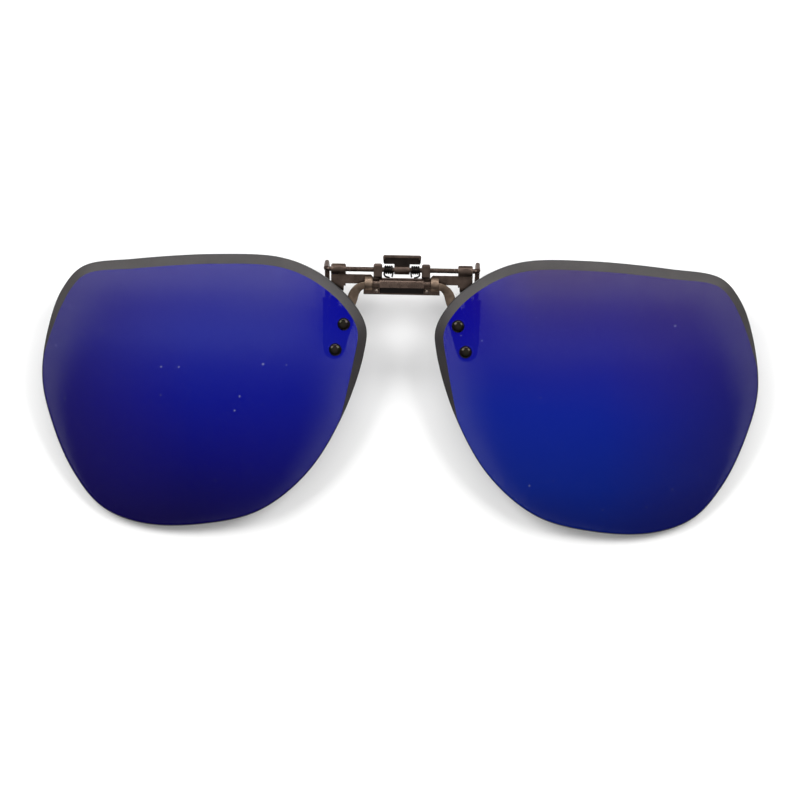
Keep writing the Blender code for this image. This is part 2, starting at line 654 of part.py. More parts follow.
def make_thumb_tab():
    """A pressed tray for the thumb on a neck that is crimped round the rod."""
    low, high = TAB_Y
    rim, corner, sheet = TAB_FRONT + TAB_WALL, 0.35, TAB_SHEET
    above = rim + 1
    tab = plate("thumb_tab", [tray_outline(TAB_X, low, high, corner)], TAB_BACK, rim, "XYZ",
                SHEET_FINISH, PART)
    room = tray_outline(TAB_X - sheet, low - 1, high - sheet, 0.1)
    slope = [(low - 1, TAB_FRONT), (low, TAB_FRONT), (high - 2 * sheet, rim), (high - 2 * sheet, above),
             (low - 1, above)]
    cutters = [plate("room", [room], TAB_FRONT, above),
               plate("slope", [slope], -THROUGH, THROUGH, "YZX")]
    combine(tab, cutters, "DIFFERENCE")
    neck = box("neck", (-NECK_X, ROD_Y, TAB_BACK), (NECK_X, low + 0.2, TAB_FRONT))
    crimp = rod("crimp", (0, ROD_Y, ROD_Z), CRIMP_R, -NECK_X, NECK_X, "X", sides=24)
    combine(tab, [neck, crimp], "UNION")
    bore = rod("bore", (0, ROD_Y, ROD_Z), ROD_R + FACE_GAP, -THROUGH, THROUGH, "X", sides=16)
    return combine(tab, [bore], "DIFFERENCE")


def tray_outline(half_width, low, high, corner):
    """A tray seen from the front: a little narrower at its foot, with rounded upper corners."""
    half = [(half_width - 0.25, low), (half_width - 0.1, low + 0.3)]
    half += arc((half_width - corner, high - corner), corner, 0, 90, 5)
    return half + [(-x, y) for x, y in reversed(half)]


def coil_point(turns):
    """A point on the spring's coil, a number of turns from its inner end."""
    inner_x, outer_x = COIL_X
    angle = -math.pi / 3 - 2 * math.pi * turns
    x = inner_x + (outer_x - inner_x) * turns / COIL_TURNS
    return Vector((x, ROD_Y + COIL_R * math.sin(angle), ROD_Z + COIL_R * math.cos(angle)))


def make_torsion_spring(name):
    """A coil round the rod, with a long leg on the housing and a short leg beside the tab's crimp."""
    coil = [coil_point(i / COIL_STEPS) for i in range(COIL_TURNS * COIL_STEPS + 1)]
    first, last = coil[0], coil[-1]
    short_leg = [(first.x + 0.15, ROD_Y - 1.35, first.z + 0.2)]
    long_leg = [(last.x, ROD_Y - 0.95, last.z + 0.3), (last.x - 0.35, ROD_Y - 1.25, last.z + 0.45),
                (last.x - 1.05, ROD_Y - 1.4, last.z + 0.6)]
    return wire(name, short_leg + coil + long_leg, SPRING_R, COIL_FINISH, PART, resolution=0)


# ---- assembly ----
def axis_empty(name, y, z, parent):
    empty = bpy.data.objects.new(name, None)
    PART.objects.link(empty)
    empty.empty_display_size = 0.004
    empty.location = (0, y * MM, z * MM)
    empty.parent = parent
    return empty


def hang(objects, empty, y, z):
    """Parents the objects to an empty on a joint's axis, with their origins there."""
    for obj in objects:
        obj.data.transform(Matrix.Translation((0, -y * MM, -z * MM)))
        obj.parent = empty


def lowest(points, tilt):
    return (points @ np.array([0.0, math.sin(tilt), math.cos(tilt)])).min()


def points_of(objects):
    return np.array([tuple(v.co) for obj in objects for v in obj.data.vertices])


def resting_tilt(claws, lenses):
    """The tilt about X at which the claws and the lenses come down to the same height."""
    low, high = 0.0, math.radians(40)
    for _ in range(50):
        tilt = (low + high) / 2
        if lowest(claws, tilt) < lowest(lenses, tilt):
            low = tilt
        else:
            high = tilt
    return tilt


def rest_matrix(every, tilt):
    """The tilt, with the whole then set on the ground and centred over the origin."""
    turn = Matrix.Rotation(tilt, 4, "X")
    posed = every @ np.array(turn.to_3x3()).T
    low, high = posed.min(axis=0), posed.max(axis=0)
    shift = (-(low[0] + high[0]) / 2, -(low[1] + high[1]) / 2, -low[2])
    return Matrix.Translation(shift) @ turn


def main():
    clip = [make_base_frame(), make_housing(), make_detent_spring()]
    clip += [make_housing_rivet("housing_rivet_left", -1), make_housing_rivet("housing_rivet_right", 1)]
    right_spring = make_torsion_spring("torsion_spring_right")
    clip += [right_spring, mirrored(right_spring, "torsion_spring_left")]
    front_sleeve = make_front_sleeve("front_sleeve_right")
    clip += [front_sleeve, mirrored(front_sleeve, "front_sleeve_left")]

    rear_sleeve = make_rear_sleeve("rear_sleeve_right")
    sleeves = [rear_sleeve, mirrored(rear_sleeve, "rear_sleeve_left")]
    clamp = [make_clamp_rod(), make_thumb_tab(), *sleeves]

    lens = make_lens("lens_right")
    lenses = [lens, mirrored(lens, "lens_left")]
    flip = [make_hinge_bar(), *lenses]
    pieces = [make_arm("lens_arm_right")]
    for place, at in RIVETS.items():
        pieces += [
            make_rivet(f"lens_rivet_{place}_right", at),
            make_ring(f"lens_washer_{place}_right", at, RIVET_R + HOLE_GAP, WASHER_R, WASHER_T,
                      LENS_T + LENS_BACK_GAP, WASHER_FINISH),
            make_ring(f"rivet_collar_{place}_right", at, RIVET_R + FACE_GAP, COLLAR_R, COLLAR_T,
                      PAD_DEPTH + ARM_T + FACE_GAP, RIVET_FINISH),
        ]
    flip += pieces + [mirrored(obj, obj.name.replace("_right", "_left")) for obj in pieces]

    everything = clip + clamp + flip
    tilt = resting_tilt(points_of(sleeves), points_of(lenses))
    root = axis_empty("rest_pose", 0, 0, None)
    root.matrix_world = rest_matrix(points_of(everything), tilt)
    hang(clip, root, 0, 0)
    hang(clamp, axis_empty("clamp_axis", ROD_Y, ROD_Z, root), ROD_Y, ROD_Z)
    hang(flip, axis_empty("flip_axis", HINGE_Y, 0, root), HINGE_Y, 0)
    bpy.context.view_layer.update()


clear_scene()
PART = collection("clip_on_flip_lenses")
HELPERS = collection("cutters")
main()
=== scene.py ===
import json
import math

import bmesh
import bpy
import numpy as np
from mathutils import Matrix, Vector


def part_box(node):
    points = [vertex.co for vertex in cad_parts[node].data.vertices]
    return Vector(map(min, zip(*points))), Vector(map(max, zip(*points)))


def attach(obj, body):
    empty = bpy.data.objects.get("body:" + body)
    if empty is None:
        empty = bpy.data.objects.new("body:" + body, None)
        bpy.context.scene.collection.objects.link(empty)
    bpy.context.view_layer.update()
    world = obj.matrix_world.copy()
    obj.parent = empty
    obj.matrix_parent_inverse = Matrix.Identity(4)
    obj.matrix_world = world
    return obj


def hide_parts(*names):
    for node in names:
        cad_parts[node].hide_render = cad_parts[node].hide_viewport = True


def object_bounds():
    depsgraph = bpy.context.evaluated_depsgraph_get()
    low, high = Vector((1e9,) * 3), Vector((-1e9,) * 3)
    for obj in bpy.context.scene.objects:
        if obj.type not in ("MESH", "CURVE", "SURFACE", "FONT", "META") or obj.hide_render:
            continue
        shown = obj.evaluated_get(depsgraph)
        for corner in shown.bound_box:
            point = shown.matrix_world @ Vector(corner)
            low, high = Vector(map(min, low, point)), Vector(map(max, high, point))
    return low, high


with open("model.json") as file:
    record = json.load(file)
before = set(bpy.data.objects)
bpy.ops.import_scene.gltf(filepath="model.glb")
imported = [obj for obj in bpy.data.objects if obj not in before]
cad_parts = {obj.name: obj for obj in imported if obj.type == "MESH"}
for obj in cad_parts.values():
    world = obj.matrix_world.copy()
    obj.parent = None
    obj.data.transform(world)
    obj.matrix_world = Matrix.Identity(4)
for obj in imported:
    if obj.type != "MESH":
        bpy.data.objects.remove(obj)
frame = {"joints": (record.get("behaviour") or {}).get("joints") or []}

CAD_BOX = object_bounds()
MM = 0.001

# ---- the CAD's dimensions, in millimetres: X across the face, Y up the lens, Z out of its front ----
HINGE_Y = -0.15
ROD_Y, ROD_Z = 2.45, -0.95
ROD_R = 0.475
RUN_GAP = 0.05
SHEET = 0.5
PLATE_FRONT, PLATE_BACK = -1.5, -2.0
LUG_X, LUG_Y = (3.85, 5.5), (0.98, 3.55)
LUG_FRONT, LUG_ROOT_Y, CORNER_CUT = -0.1, -0.95, 0.25
HOOK_X, HOOK_END = (10.9, 13.75), 200
OUTER_ARM_Y, WING_Y, WEB_Y = (-0.45, 1.35), -0.9, 0.6
CENTRE_X, CENTRE_Y = 7.4, (-2.5, -1.0)
PRONG_X, PRONG_W, PRONG_FLARE = 12.05, 1.6, 1.1
PRONG_Z, PRONG_END = -4.8, -12.9
SLEEVE_TIP_Y, FRONT_SLEEVE_TOP, REAR_SLEEVE_TOP = -14.0, -5.3, -4.2
FRONT_SLEEVE_HALF, SLEEVE_PLAY = (1.4, 0.85), 0.05
CLAW_X, CLAW_TIP_X = 14.75, 14.3
CLAW_DEPTH, CLAW_RISE = 8.4, 0.3
CLAW_TIP = (-12.9, -7.8)
CLAW_BEND_R = 0.9
REAR_SLEEVE_R = 1.0
BAR_R, BAR_END_X = 0.6, 6.8
CAM_X, CAM_HALF = 3.2, 0.43
EYE_X, EYE_R, EYE_CAP = (5.65, 7.2), 1.35, 0.35
ARM_T, ARM_TIP_R = 0.6, 2.05
ARM_SWEEP = (  # x, y, z and width, from the eye to where the pad begins
    (7.6, -0.68, -0.4, 1.4), (8.45, -1.2, -0.65, 1.6), (9.15, -2.15, -0.87, 1.85), (9.6, -3.4, -1.0, 2.05),
)
ARM_FLARE = ((-2.6, 2.5), (-1.3, 3.5), (0.0, 3.95))  # the way down the pad from its upper rivet, and width
HOUSING_X, HOUSING_T, HOUSING_FOOT, HOUSING_SHELF = 4.3, 0.3, 2.0, 0.65
EAR_X, EAR_TOP = (4.2, 5.45), 0.95
HOUSING_RIVET, HOUSING_RIVET_R, HOUSING_RIVET_HEAD = (4.85, -1.6), 0.22, (0.42, 0.19)
DETENT_X, DETENT_TOP, DETENT_T = 2.6, -0.7, 0.14
TAB_X, TAB_Y, NECK_X, CRIMP_R = 3.7, (3.6, 5.35), 1.5, 0.88
TAB_FRONT, TAB_BACK, TAB_WALL = -0.75, -1.15, 0.95
TAB_SHEET, TAB_CORNER, TAB_PLAY = 0.35, 0.35, 0.03
COIL_X, COIL_TURNS, COIL_R, SPRING_R = (1.75, 3.4), 4, 0.7, 0.175
COIL_START = -60  # degrees round the rod
LONG_LEG = ((0.0, -0.95, 0.3), (-0.35, -1.25, 0.45), (-1.05, -1.4, 0.6))  # from the coil's outer end
SHORT_LEG = (0.15, -1.35, 0.2)  # from its inner end
LENS_BASE_R, LENS_POLE, LENS_T = 150.0, (31.0, -20.5, 3.8), 1.8
FACET_MAX, FACET_RUN, FACET_MIN, FACET_DROP = 1.7, 13.0, 0.18, 0.5
FACET_START, FACET_EASE = ((69.7, -16.5), (11.8, -27.2)), 0.6
TEMPLE_X, TEMPLE_THINNING = (52.0, 66.0), 0.3
LIP, LIP_DROP, BACK_BEVEL = 0.12, 0.02, 0.15  # the dark edge outside the facet, and the bevel at the back
LENS_OUTLINE = (
    (69.8, -20.0), (68.5, -9.4), (65.9, -2.4), (62.0, 1.85), (52.0, 3.65), (36.0, 5.05),
    (23.6, 4.65), (16.5, 2.0), (10.0, -3.2), (6.8, -8.6), (7.0, -13.4), (10.7, -25.2),
    (17.6, -37.2), (27.0, -45.1), (38.0, -48.1), (50.0, -48.35), (58.0, -45.3),
    (63.6, -38.5), (67.8, -28.9),
)
RIVETS = {"upper": (11.07, -7.95), "lower": (12.63, -12.9)}
RIVET_R, RIVET_HEAD_R, RIVET_HEAD_H, RIVET_BRIM, RIVET_TAIL = 0.6, 1.25, 0.75, 0.08, 0.15
HOLE_GAP, FACE_GAP, LENS_BACK_GAP = 0.06, 0.04, 0.09
WASHER_R, WASHER_T = 1.35, 0.25
COLLAR_R, COLLAR_T = 1.0, 0.45
PAD_DEPTH = LENS_T + LENS_BACK_GAP + WASHER_T + FACE_GAP

# ---- how finely the final meshes are made ----
RIM_POINTS = 300
FACE_SHARES = (0.94, 0.86, 0.76, 0.65, 0.53, 0.4, 0.26, 0.12)
ROUND_STEPS = 48
COIL_STEPS = 32  # to a turn
LEAN_ROWS = 40  # the rows over which an arm turns to face along its rivets
TIP_SHARES = (0.2, 0.4, 0.55, 0.7, 0.8, 0.88, 0.94, 0.975, 0.995)  # rows of the pad's round end
EDGE_SOFT = 0.07  # the rounding of a sheet's edges
THROUGH = 6  # how far a hole's cutter runs either way

X_AXIS, Z_AXIS = Vector((1, 0, 0)), Vector((0, 0, 1))
ON_FRONT, ON_FACET, ON_EDGE, ON_BACK = range(4)  # the lens's materials, in order


# ---- placing and finishing pieces ----
def placement():
    """The design frame's place in the row frame, found from the two joints' axes."""
    at = {joint["name"]: Vector(joint["pos_m"]) for joint in frame["joints"]}
    hinge, rod = Vector((0, HINGE_Y, 0)) * MM, Vector((0, ROD_Y, ROD_Z)) * MM
    drawn, placed = rod - hinge, at["clamp_open"] - at["lens_flip"]
    tilt = math.atan2(placed.z, placed.y) - math.atan2(drawn.z, drawn.y)
    turn = Matrix.Rotation(tilt, 4, "X")
    return Matrix.Translation(at["lens_flip"] - turn @ hinge) @ turn


PLACE = placement()


def bake_modifiers(obj):
    """Puts the modifiers' result in the mesh itself."""
    bpy.context.view_layer.update()
    graph = bpy.context.evaluated_depsgraph_get()
    old = obj.data
    obj.data = bpy.data.meshes.new_from_object(obj.evaluated_get(graph))
    obj.modifiers.clear()
    bpy.data.meshes.remove(old)


def settle(obj, body, nodes, slot, finish=None, sharp=38, weighted=True):
    """Shades a piece, gives it a finish unless it has its own, places it and hangs it on its body."""
    obj.data.shade_smooth()
    obj.data.set_sharp_from_angle(angle=math.radians(sharp))
    if weighted:
        modifier = obj.modifiers.new("normals", "WEIGHTED_NORMAL")
        modifier.keep_sharp = True
        modifier.weight = 60
        bake_modifiers(obj)
    if finish:
        obj.data.materials.append(finish)
    obj.data.transform(PLACE)
    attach(obj, body)
    if nodes:
        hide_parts(*nodes)
    return obj


def mirror_image(obj, name):
    """A copy of a right-hand piece for the left."""
    mesh = obj.data.copy()
    mesh.transform(Matrix.Diagonal((-1, 1, 1, 1)))
    mesh.flip_normals()
    return add_object(name, mesh)


# ---- mesh helpers ----
def add_object(name, mesh):
    obj = bpy.data.objects.new(name, mesh)
    bpy.context.scene.collection.objects.link(obj)
    return obj


def from_bmesh(name, bm):
    """An object from a bmesh, its faces turned outwards."""
    bmesh.ops.recalc_face_normals(bm, faces=bm.faces)
    mesh = bpy.data.meshes.new(name)
    bm.to_mesh(mesh)
    bm.free()
    return add_object(name, mesh)


def curve_mesh(name, curve):
    """A curve turned into one closed mesh with its caps welded on."""
    holder = add_object(name + "_curve", curve)
    bpy.context.view_layer.update()
    graph = bpy.context.evaluated_depsgraph_get()
    mesh = bpy.data.meshes.new_from_object(holder.evaluated_get(graph))
    bpy.data.objects.remove(holder, do_unlink=True)
    bm = bmesh.new()
    bm.from_mesh(mesh)
    bpy.data.meshes.remove(mesh)
    bmesh.ops.remove_doubles(bm, verts=bm.verts, dist=1e-6)
    return from_bmesh(name, bm)


def plate(name, outlines, low, high, axes="XYZ", soft=EDGE_SOFT):
    """An outline, with any holes, extruded from low to high along the third axis, its edges rounded."""
    curve = bpy.data.curves.new(name, "CURVE")
    curve.dimensions = "2D"
    curve.fill_mode = "BOTH"
    curve.extrude = ((high - low) / 2 - soft) * MM
    curve.bevel_depth = soft * MM
    curve.bevel_resolution = 1
    curve.offset = -soft * MM
    for outline in outlines:
        spline = curve.splines.new("POLY")
        spline.points.add(len(outline) - 1)
        for point, (a, b) in zip(spline.points, outline):
            point.co = (a * MM, b * MM, 0.0, 1.0)
        spline.use_cyclic_u = True
    obj = curve_mesh(name, curve)
    obj.data.transform(Matrix.Translation((0, 0, (high + low) / 2 * MM)))
    columns = [Vector([float(letter == axis) for letter in "XYZ"]) for axis in axes]
    turn = Matrix(columns).transposed().to_4x4()
    obj.data.transform(turn)
    if turn.determinant() < 0:
        obj.data.flip_normals()
    return obj


def wire(name, points, radius, resolution=6):
    """A round wire along the points."""
    curve = bpy.data.curves.new(name, "CURVE")
    curve.dimensions = "3D"
    curve.bevel_depth = radius * MM
    curve.bevel_resolution = resolution
    curve.use_fill_caps = True
    spline = curve.splines.new("POLY")
    spline.points.add(len(points) - 1)
    for point, place in zip(spline.points, points):
        point.co = (*(Vector(place) * MM), 1.0)
    return curve_mesh(name, curve)


def turned(name, profile, place, steps=ROUND_STEPS):
    """A profile of (radius, height) pairs turned about place's Z; a ring's profile ends where it starts."""
    closed = profile[0] == profile[-1]
    points = [(r * MM, 0.0, z * MM) for r, z in (profile[:-1] if closed else profile)]
    edges = [(i, (i + 1) % len(points)) for i in range(len(profile) - 1)]
    mesh = bpy.data.meshes.new(name)
    mesh.from_pydata(points, edges, [])
    obj = add_object(name, mesh)
    screw = obj.modifiers.new("turn", "SCREW")
    screw.axis = "Z"
    screw.steps = screw.render_steps = steps
    screw.use_merge_vertices = True
    screw.merge_threshold = 1e-6
    bake_modifiers(obj)
    bm = bmesh.new()
    bm.from_mesh(obj.data)
    bmesh.ops.recalc_face_normals(bm, faces=bm.faces)
    bm.to_mesh(obj.data)
    bm.free()
    obj.data.transform(place)
    return obj


def along(axis, centre):
    """A frame at centre whose Z runs along axis."""
    turn = axis.to_track_quat("Z", "Y").to_matrix().to_4x4()
    return Matrix.Translation(Vector(centre) * MM) @ turn


def rod(name, centre, radius, low, high, axis, soft=0.0, steps=ROUND_STEPS):
    """A round bar along axis from low to high past centre, its ends rounded by soft."""
    top = [(0.0, high)] + [(radius - soft + x, high - soft + y) for x, y in arc((0, 0), soft, 90, 0, 4)]
    bottom = [(radius - soft + x, low + soft + y) for x, y in arc((0, 0), soft, 0, -90, 4)] + [(0.0, low)]
    if not soft:
        top, bottom = [(0.0, high), (radius, high)], [(radius, low), (0.0, low)]
    return turned(name, top + bottom, along(axis, centre), steps)


def box(name, low, high):
    """A block between two corners."""
    bm = bmesh.new()
    bmesh.ops.create_cube(bm, size=1.0)
    size = (Vector(high) - Vector(low)) * MM
    middle = (Vector(high) + Vector(low)) / 2 * MM
    bmesh.ops.transform(bm, matrix=Matrix.LocRotScale(middle, None, size), verts=bm.verts)
    return from_bmesh(name, bm)


def paint_shade(obj, finish, in_shade):
    """Gives a piece its finish, and painted shade, a darker copy of the bronze, on the faces that the given
    test picks by place and normal.
    """
    for each in (finish, PAINTED_SHADE_METAL):
        obj.data.materials.append(each)
    for face in obj.data.polygons:
        face.material_index = int(in_shade(face.center / MM, face.normal))
    return obj


def combine(obj, others, operation):
    """Joins the others to a piece, or cuts it with them, and removes them."""
    for other in others:
        modifier = obj.modifiers.new(operation.lower(), "BOOLEAN")
        modifier.operation = operation
        modifier.object = other
        bake_modifiers(obj)
        bpy.data.objects.remove(other, do_unlink=True)
    return obj


def arc(centre, radius, start, end, count):
    """Points on a circle's arc, its ends in degrees."""
    angles = np.radians(np.linspace(start, end, count))
    return [(centre[0] + radius * math.cos(a), centre[1] + radius * math.sin(a)) for a in angles]


def rounded_path(corners, radius, steps=14):
    """A polyline in space with each inner corner rounded."""
    points = [Vector(corners[0])]
    for before, corner, after in zip(corners, corners[1:], corners[2:]):
        corner = Vector(corner)
        start = corner + (Vector(before) - corner).normalized() * radius
        end = corner + (Vector(after) - corner).normalized() * radius
        for t in np.linspace(0, 1, steps + 1):
            points.append(start.lerp(corner, t).lerp(corner.lerp(end, t), t))
    return points + [Vector(corners[-1])]


def smooth_rows(rows, per_span=8):
    """Rows of numbers with more rows put between them, on smooth curves through the ones given."""
    rows = np.array(rows, float)
    last = len(rows) - 1
    out = []
    for i in range(last):
        p0, p1, p2, p3 = (rows[min(max(i + k, 0), last)] for k in (-1, 0, 1, 2))
        for t in np.linspace(0, 1, per_span, endpoint=False):
            out.append(0.5 * (2 * p1 + (p2 - p0) * t + (2 * p0 - 5 * p1 + 4 * p2 - p3) * t**2
                              + (3 * p1 - p0 - 3 * p2 + p3) * t**3))
    return out + [rows[-1]]


def ribbon(name, stations, thickness, soft=EDGE_SOFT):
    """A strip with rounded edges lofted through stations: a centre, a width and the way its face looks."""
    bm = bmesh.new()
    rows = []
    last = len(stations) - 1
    for i, (centre, width, face) in enumerate(stations):
        ahead = (stations[min(i + 1, last)][0] - stations[max(i - 1, 0)][0]).normalized()
        side = ahead.cross(face).normalized()
        out = side.cross(ahead).normalized()
        s = min(soft, width * 0.2)
        w, t = width / 2 - s, thickness / 2 - s
        ring = []
        for quarter, (sw, st) in enumerate(((1, 1), (-1, 1), (-1, -1), (1, -1))):
            ring += arc((sw * w, st * t), s, 90 * quarter, 90 * quarter + 90, 4)
        rows.append([bm.verts.new((centre + side * a + out * b) * MM) for a, b in ring])
    bm.faces.new(rows[0])
    bm.faces.new(rows[-1])
    count = len(rows[0])
    for low, high in zip(rows, rows[1:]):
        for k in range(count):
            bm.faces.new((low[k], low[(k + 1) % count], high[(k + 1) % count], high[k]))
    return from_bmesh(name, bm)


def closed_spline(points, samples):
    """An even sampling of the smooth closed curve through the points."""
    knots = np.array(points, float)
    dense = []
    for i in range(len(knots)):
        p0, p1, p2, p3 = (knots[(i + k) % len(knots)] for k in (-1, 0, 1, 2))
        t = np.cumsum([0] + [math.sqrt(np.linalg.norm(b - a)) for a, b in ((p0, p1), (p1, p2), (p2, p3))])
        for u in np.linspace(t[1], t[2], 24, endpoint=False):
            a1 = p0 + (p1 - p0) * (u - t[0]) / (t[1] - t[0])
            a2 = p1 + (p2 - p1) * (u - t[1]) / (t[2] - t[1])
            a3 = p2 + (p3 - p2) * (u - t[2]) / (t[3] - t[2])
            b1 = a1 + (a2 - a1) * (u - t[0]) / (t[2] - t[0])
            b2 = a2 + (a3 - a2) * (u - t[1]) / (t[3] - t[1])
            dense.append(b1 + (b2 - b1) * (u - t[1]) / (t[2] - t[1]))
    dense = np.array(dense + [dense[0]])
    run = np.concatenate([[0], np.cumsum(np.linalg.norm(np.diff(dense, axis=0), axis=1))])
    at = np.linspace(0, run[-1], samples, endpoint=False)
    return np.stack([np.interp(at, run, dense[:, k]) for k in (0, 1)], axis=1)


# ---- node helpers ----
class Nodes:
    """Short calls for building one material's node tree."""

    def __init__(self, name):
        self.made = bpy.data.materials.new(name)
        self.made.use_nodes = True
        self.tree = self.made.node_tree
        self.shader = self.tree.nodes["Principled BSDF"]
        self.place = self.add("ShaderNodeTexCoord").outputs["Object"]

    def add(self, kind, inputs=(), **settings):
        node = self.tree.nodes.new(kind)
        for key, value in settings.items():
            setattr(node, key, value)
        for key, value in dict(inputs).items():
            self.put(node.inputs[key], value)
        return node

    def put(self, socket, value):
        """Links a node's output to a socket, or sets the socket to a constant."""
        if isinstance(value, bpy.types.NodeSocket):
            self.tree.links.new(value, socket)
        else:
            socket.default_value = value

    def set(self, **inputs):
        """Sets the shader's inputs, named in lower case."""
        for key, value in inputs.items():
            self.put(self.shader.inputs[key.replace("_", " ").title().replace("Ior", "IOR")], value)

    def noise(self, size, detail=3.0, roughness=0.55):
        """Noise whose features are about size across, in metres."""
        node = self.add("ShaderNodeTexNoise", {
            "Vector": self.place, "Scale": 1 / size, "Detail": detail, "Roughness": roughness,
        })
        return node.outputs["Fac"]

    def ramp(self, value, stops):
        """A colour ramp; stops are (position, grey or colour)."""
        node = self.add("ShaderNodeValToRGB", {"Fac": value})
        points = node.color_ramp.elements
        while len(points) < len(stops):
            points.new(0.5)
        for point, (position, colour) in zip(points, stops):
            point.position = position
            point.color = (*colour, 1.0) if isinstance(colour, tuple) else (colour, colour, colour, 1.0)
        return node.outputs["Color"]

    def span(self, value, low, high, to_low=0.0, to_high=1.0):
        """The range low to high stretched to another, and held at its ends."""
        node = self.add("ShaderNodeMapRange", {
            "Value": value, "From Min": low, "From Max": high, "To Min": to_low, "To Max": to_high,
        })
        return node.outputs[0]

    def mix(self, share, a, b):
        """Two colours mixed, the second by its share."""
        node = self.add("ShaderNodeMix", data_type="RGBA")
        self.put(node.inputs[0], share)
        self.put(node.inputs[6], (*a, 1.0) if isinstance(a, tuple) else a)
        self.put(node.inputs[7], (*b, 1.0) if isinstance(b, tuple) else b)
        return node.outputs[2]

    def math(self, operation, a, b=0.0):
        return self.add("ShaderNodeMath", {0: a, 1: b}, operation=operation).outputs[0]

    def bump(self, height, strength, distance):
        node = self.add("ShaderNodeBump", {"Height": height, "Strength": strength, "Distance": distance})
        self.put(self.shader.inputs["Normal"], node.outputs[0])

    def edges(self, radius):
        """1 on edges and 0 on flats."""
        soft = self.add("ShaderNodeBevel", {"Radius": radius}, samples=6).outputs[0]
        flat = self.add("ShaderNodeNewGeometry").outputs["Normal"]
        likeness = self.add("ShaderNodeVectorMath", {0: soft, 1: flat}, operation="DOT_PRODUCT")
        return self.span(likeness.outputs["Value"], 0.995, 0.9)


# ---- materials ----
def plated_metal(name, colour, worn_and_lit, roughness):
    """Plated sheet or wire: cloudy colour, fine grain, and brighter edges that are partly wear and partly a
    painted highlight.
    """
    n = Nodes(name)
    cloud = n.noise(0.0016, 4.0)
    fine = n.noise(0.00014, 3.0, 0.6)
    dark = tuple(c * 0.72 for c in colour)
    light = tuple(min(c * 1.3, 1) for c in colour)
    base = n.mix(n.span(cloud, 0.35, 0.65), dark, light)
    base = n.mix(n.span(fine, 0.3, 0.7, 0.0, 0.25), base, light)
    # brighter edges: partly wear, partly a painted highlight where rims catch the light
    rubbed_and_lit = n.math("MULTIPLY", n.edges(0.00009), n.span(n.noise(0.0005), 0.35, 0.6, 0.25, 0.9))
    n.set(
        base_color=n.mix(rubbed_and_lit, base, worn_and_lit),
        roughness=n.span(n.math("ADD", cloud, fine), 0.7, 1.3, roughness - 0.08, roughness + 0.1),
        metallic=0.9,
        specular_tint=(0.34, 0.28, 0.25, 1.0),
    )
    n.bump(fine, 0.22, 0.00002)
    return n.made


# the lenses' colours from the bottom of a lens to its top, as the photo shows the two lenses: partly the
# coating's own shift and partly painted light, lighter near the top where light from beneath shows through
# and darker near the bottom in the lens's own shadow
LEFT_BLUES = (
    (0.0, (0.0045, 0.0010, 0.125)), (0.2, (0.0018, 0.0014, 0.21)), (0.45, (0.0015, 0.0050, 0.28)),
    (0.7, (0.014, 0.020, 0.32)), (1.0, (0.018, 0.011, 0.26)),
)
RIGHT_BLUES = (
    (0.0, (0.0006, 0.0130, 0.23)), (0.2, (0.0006, 0.020, 0.33)), (0.45, (0.0006, 0.0145, 0.33)),
    (0.7, (0.015, 0.013, 0.27)), (1.0, (0.032, 0.007, 0.13)),
)
# TEMPLE_BLUE: partly the coating's violet, partly a painted reflection of the side lamps; NOSE_BLUE: painted
# shade of the dark pads behind the lens; DUST: real dust specks
TEMPLE_BLUE, NOSE_BLUE, DUST = (0.028, 0.012, 0.18), (0.0012, 0.0020, 0.34), (0.30, 0.32, 0.55)


def lens_coat(name):
    """A mirror coating whose blue shifts to violet up the lens, with painted light in its colour (lighter
    near the top, a painted reflection towards the temples, painted shade over the pads) and a trace of what
    lies behind it.
    """
    n = Nodes(name)
    axes = n.add("ShaderNodeSeparateXYZ", {"Vector": n.place}).outputs
    low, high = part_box("lens_right")
    height = n.span(axes["Y"], low.y, high.y)
    across = n.span(axes["X"], -low.x, low.x)
    drift = n.span(n.noise(0.03, 1.0), 0.3, 0.7, -0.04, 0.04)
    height = n.math("ADD", height, drift)
    colour = n.mix(across, n.ramp(height, LEFT_BLUES), n.ramp(height, RIGHT_BLUES))
    # violet towards the temples: partly the coating's own shift, partly a painted reflection of the side
    # lamps
    outer = n.span(n.math("ABSOLUTE", axes["X"]), 0.04, 0.072, 0.0, 0.6)
    colour = n.mix(outer, colour, TEMPLE_BLUE)
    # deeper blue high on the nose side: painted shade where the dark pads lie behind the lens
    nose = n.math("MULTIPLY", n.span(n.math("ABSOLUTE", axes["X"]), 0.012, 0.026, 0.8, 0.0),
                  n.span(height, 0.5, 0.75))
    colour = n.mix(nose, colour, NOSE_BLUE)
    dust = n.ramp(n.noise(0.0009, 0.0), ((0.0, 0.0), (0.86, 0.0), (0.89, 0.5)))
    colour = n.mix(dust, colour, DUST)
    n.set(
        base_color=colour,
        metallic=0.97,
        roughness=n.span(n.noise(0.004, 3.0), 0.3, 0.7, 0.05, 0.09),
        alpha=0.90,
    )
    return n.made


def ground_rim(name, dark, light):
    """Uncoated grey lens stock where the rim is ground, with fine marks from the wheel."""
    n = Nodes(name)
    marks = n.noise(0.00025, 4.0, 0.6)
    cloud = n.noise(0.006, 2.0)
    n.set(
        base_color=n.mix(n.span(n.math("ADD", marks, cloud), 0.8, 1.2), dark, light),
        roughness=n.span(marks, 0.3, 0.7, 0.34, 0.5),
        specular_ior_level=0.25,
    )
    n.bump(marks, 0.12, 0.00002)
    return n.made


def smoke_back(name):
    """The lens's back: polished smoke grey that shows a little of what lies behind it."""
    n = Nodes(name)
    film = n.noise(0.012, 3.0)
    n.set(
        base_color=n.mix(n.span(film, 0.35, 0.65), (0.010, 0.010, 0.012), (0.018, 0.017, 0.020)),
        roughness=n.span(film, 0.3, 0.7, 0.05, 0.10),
        alpha=0.5,
    )
    return n.made


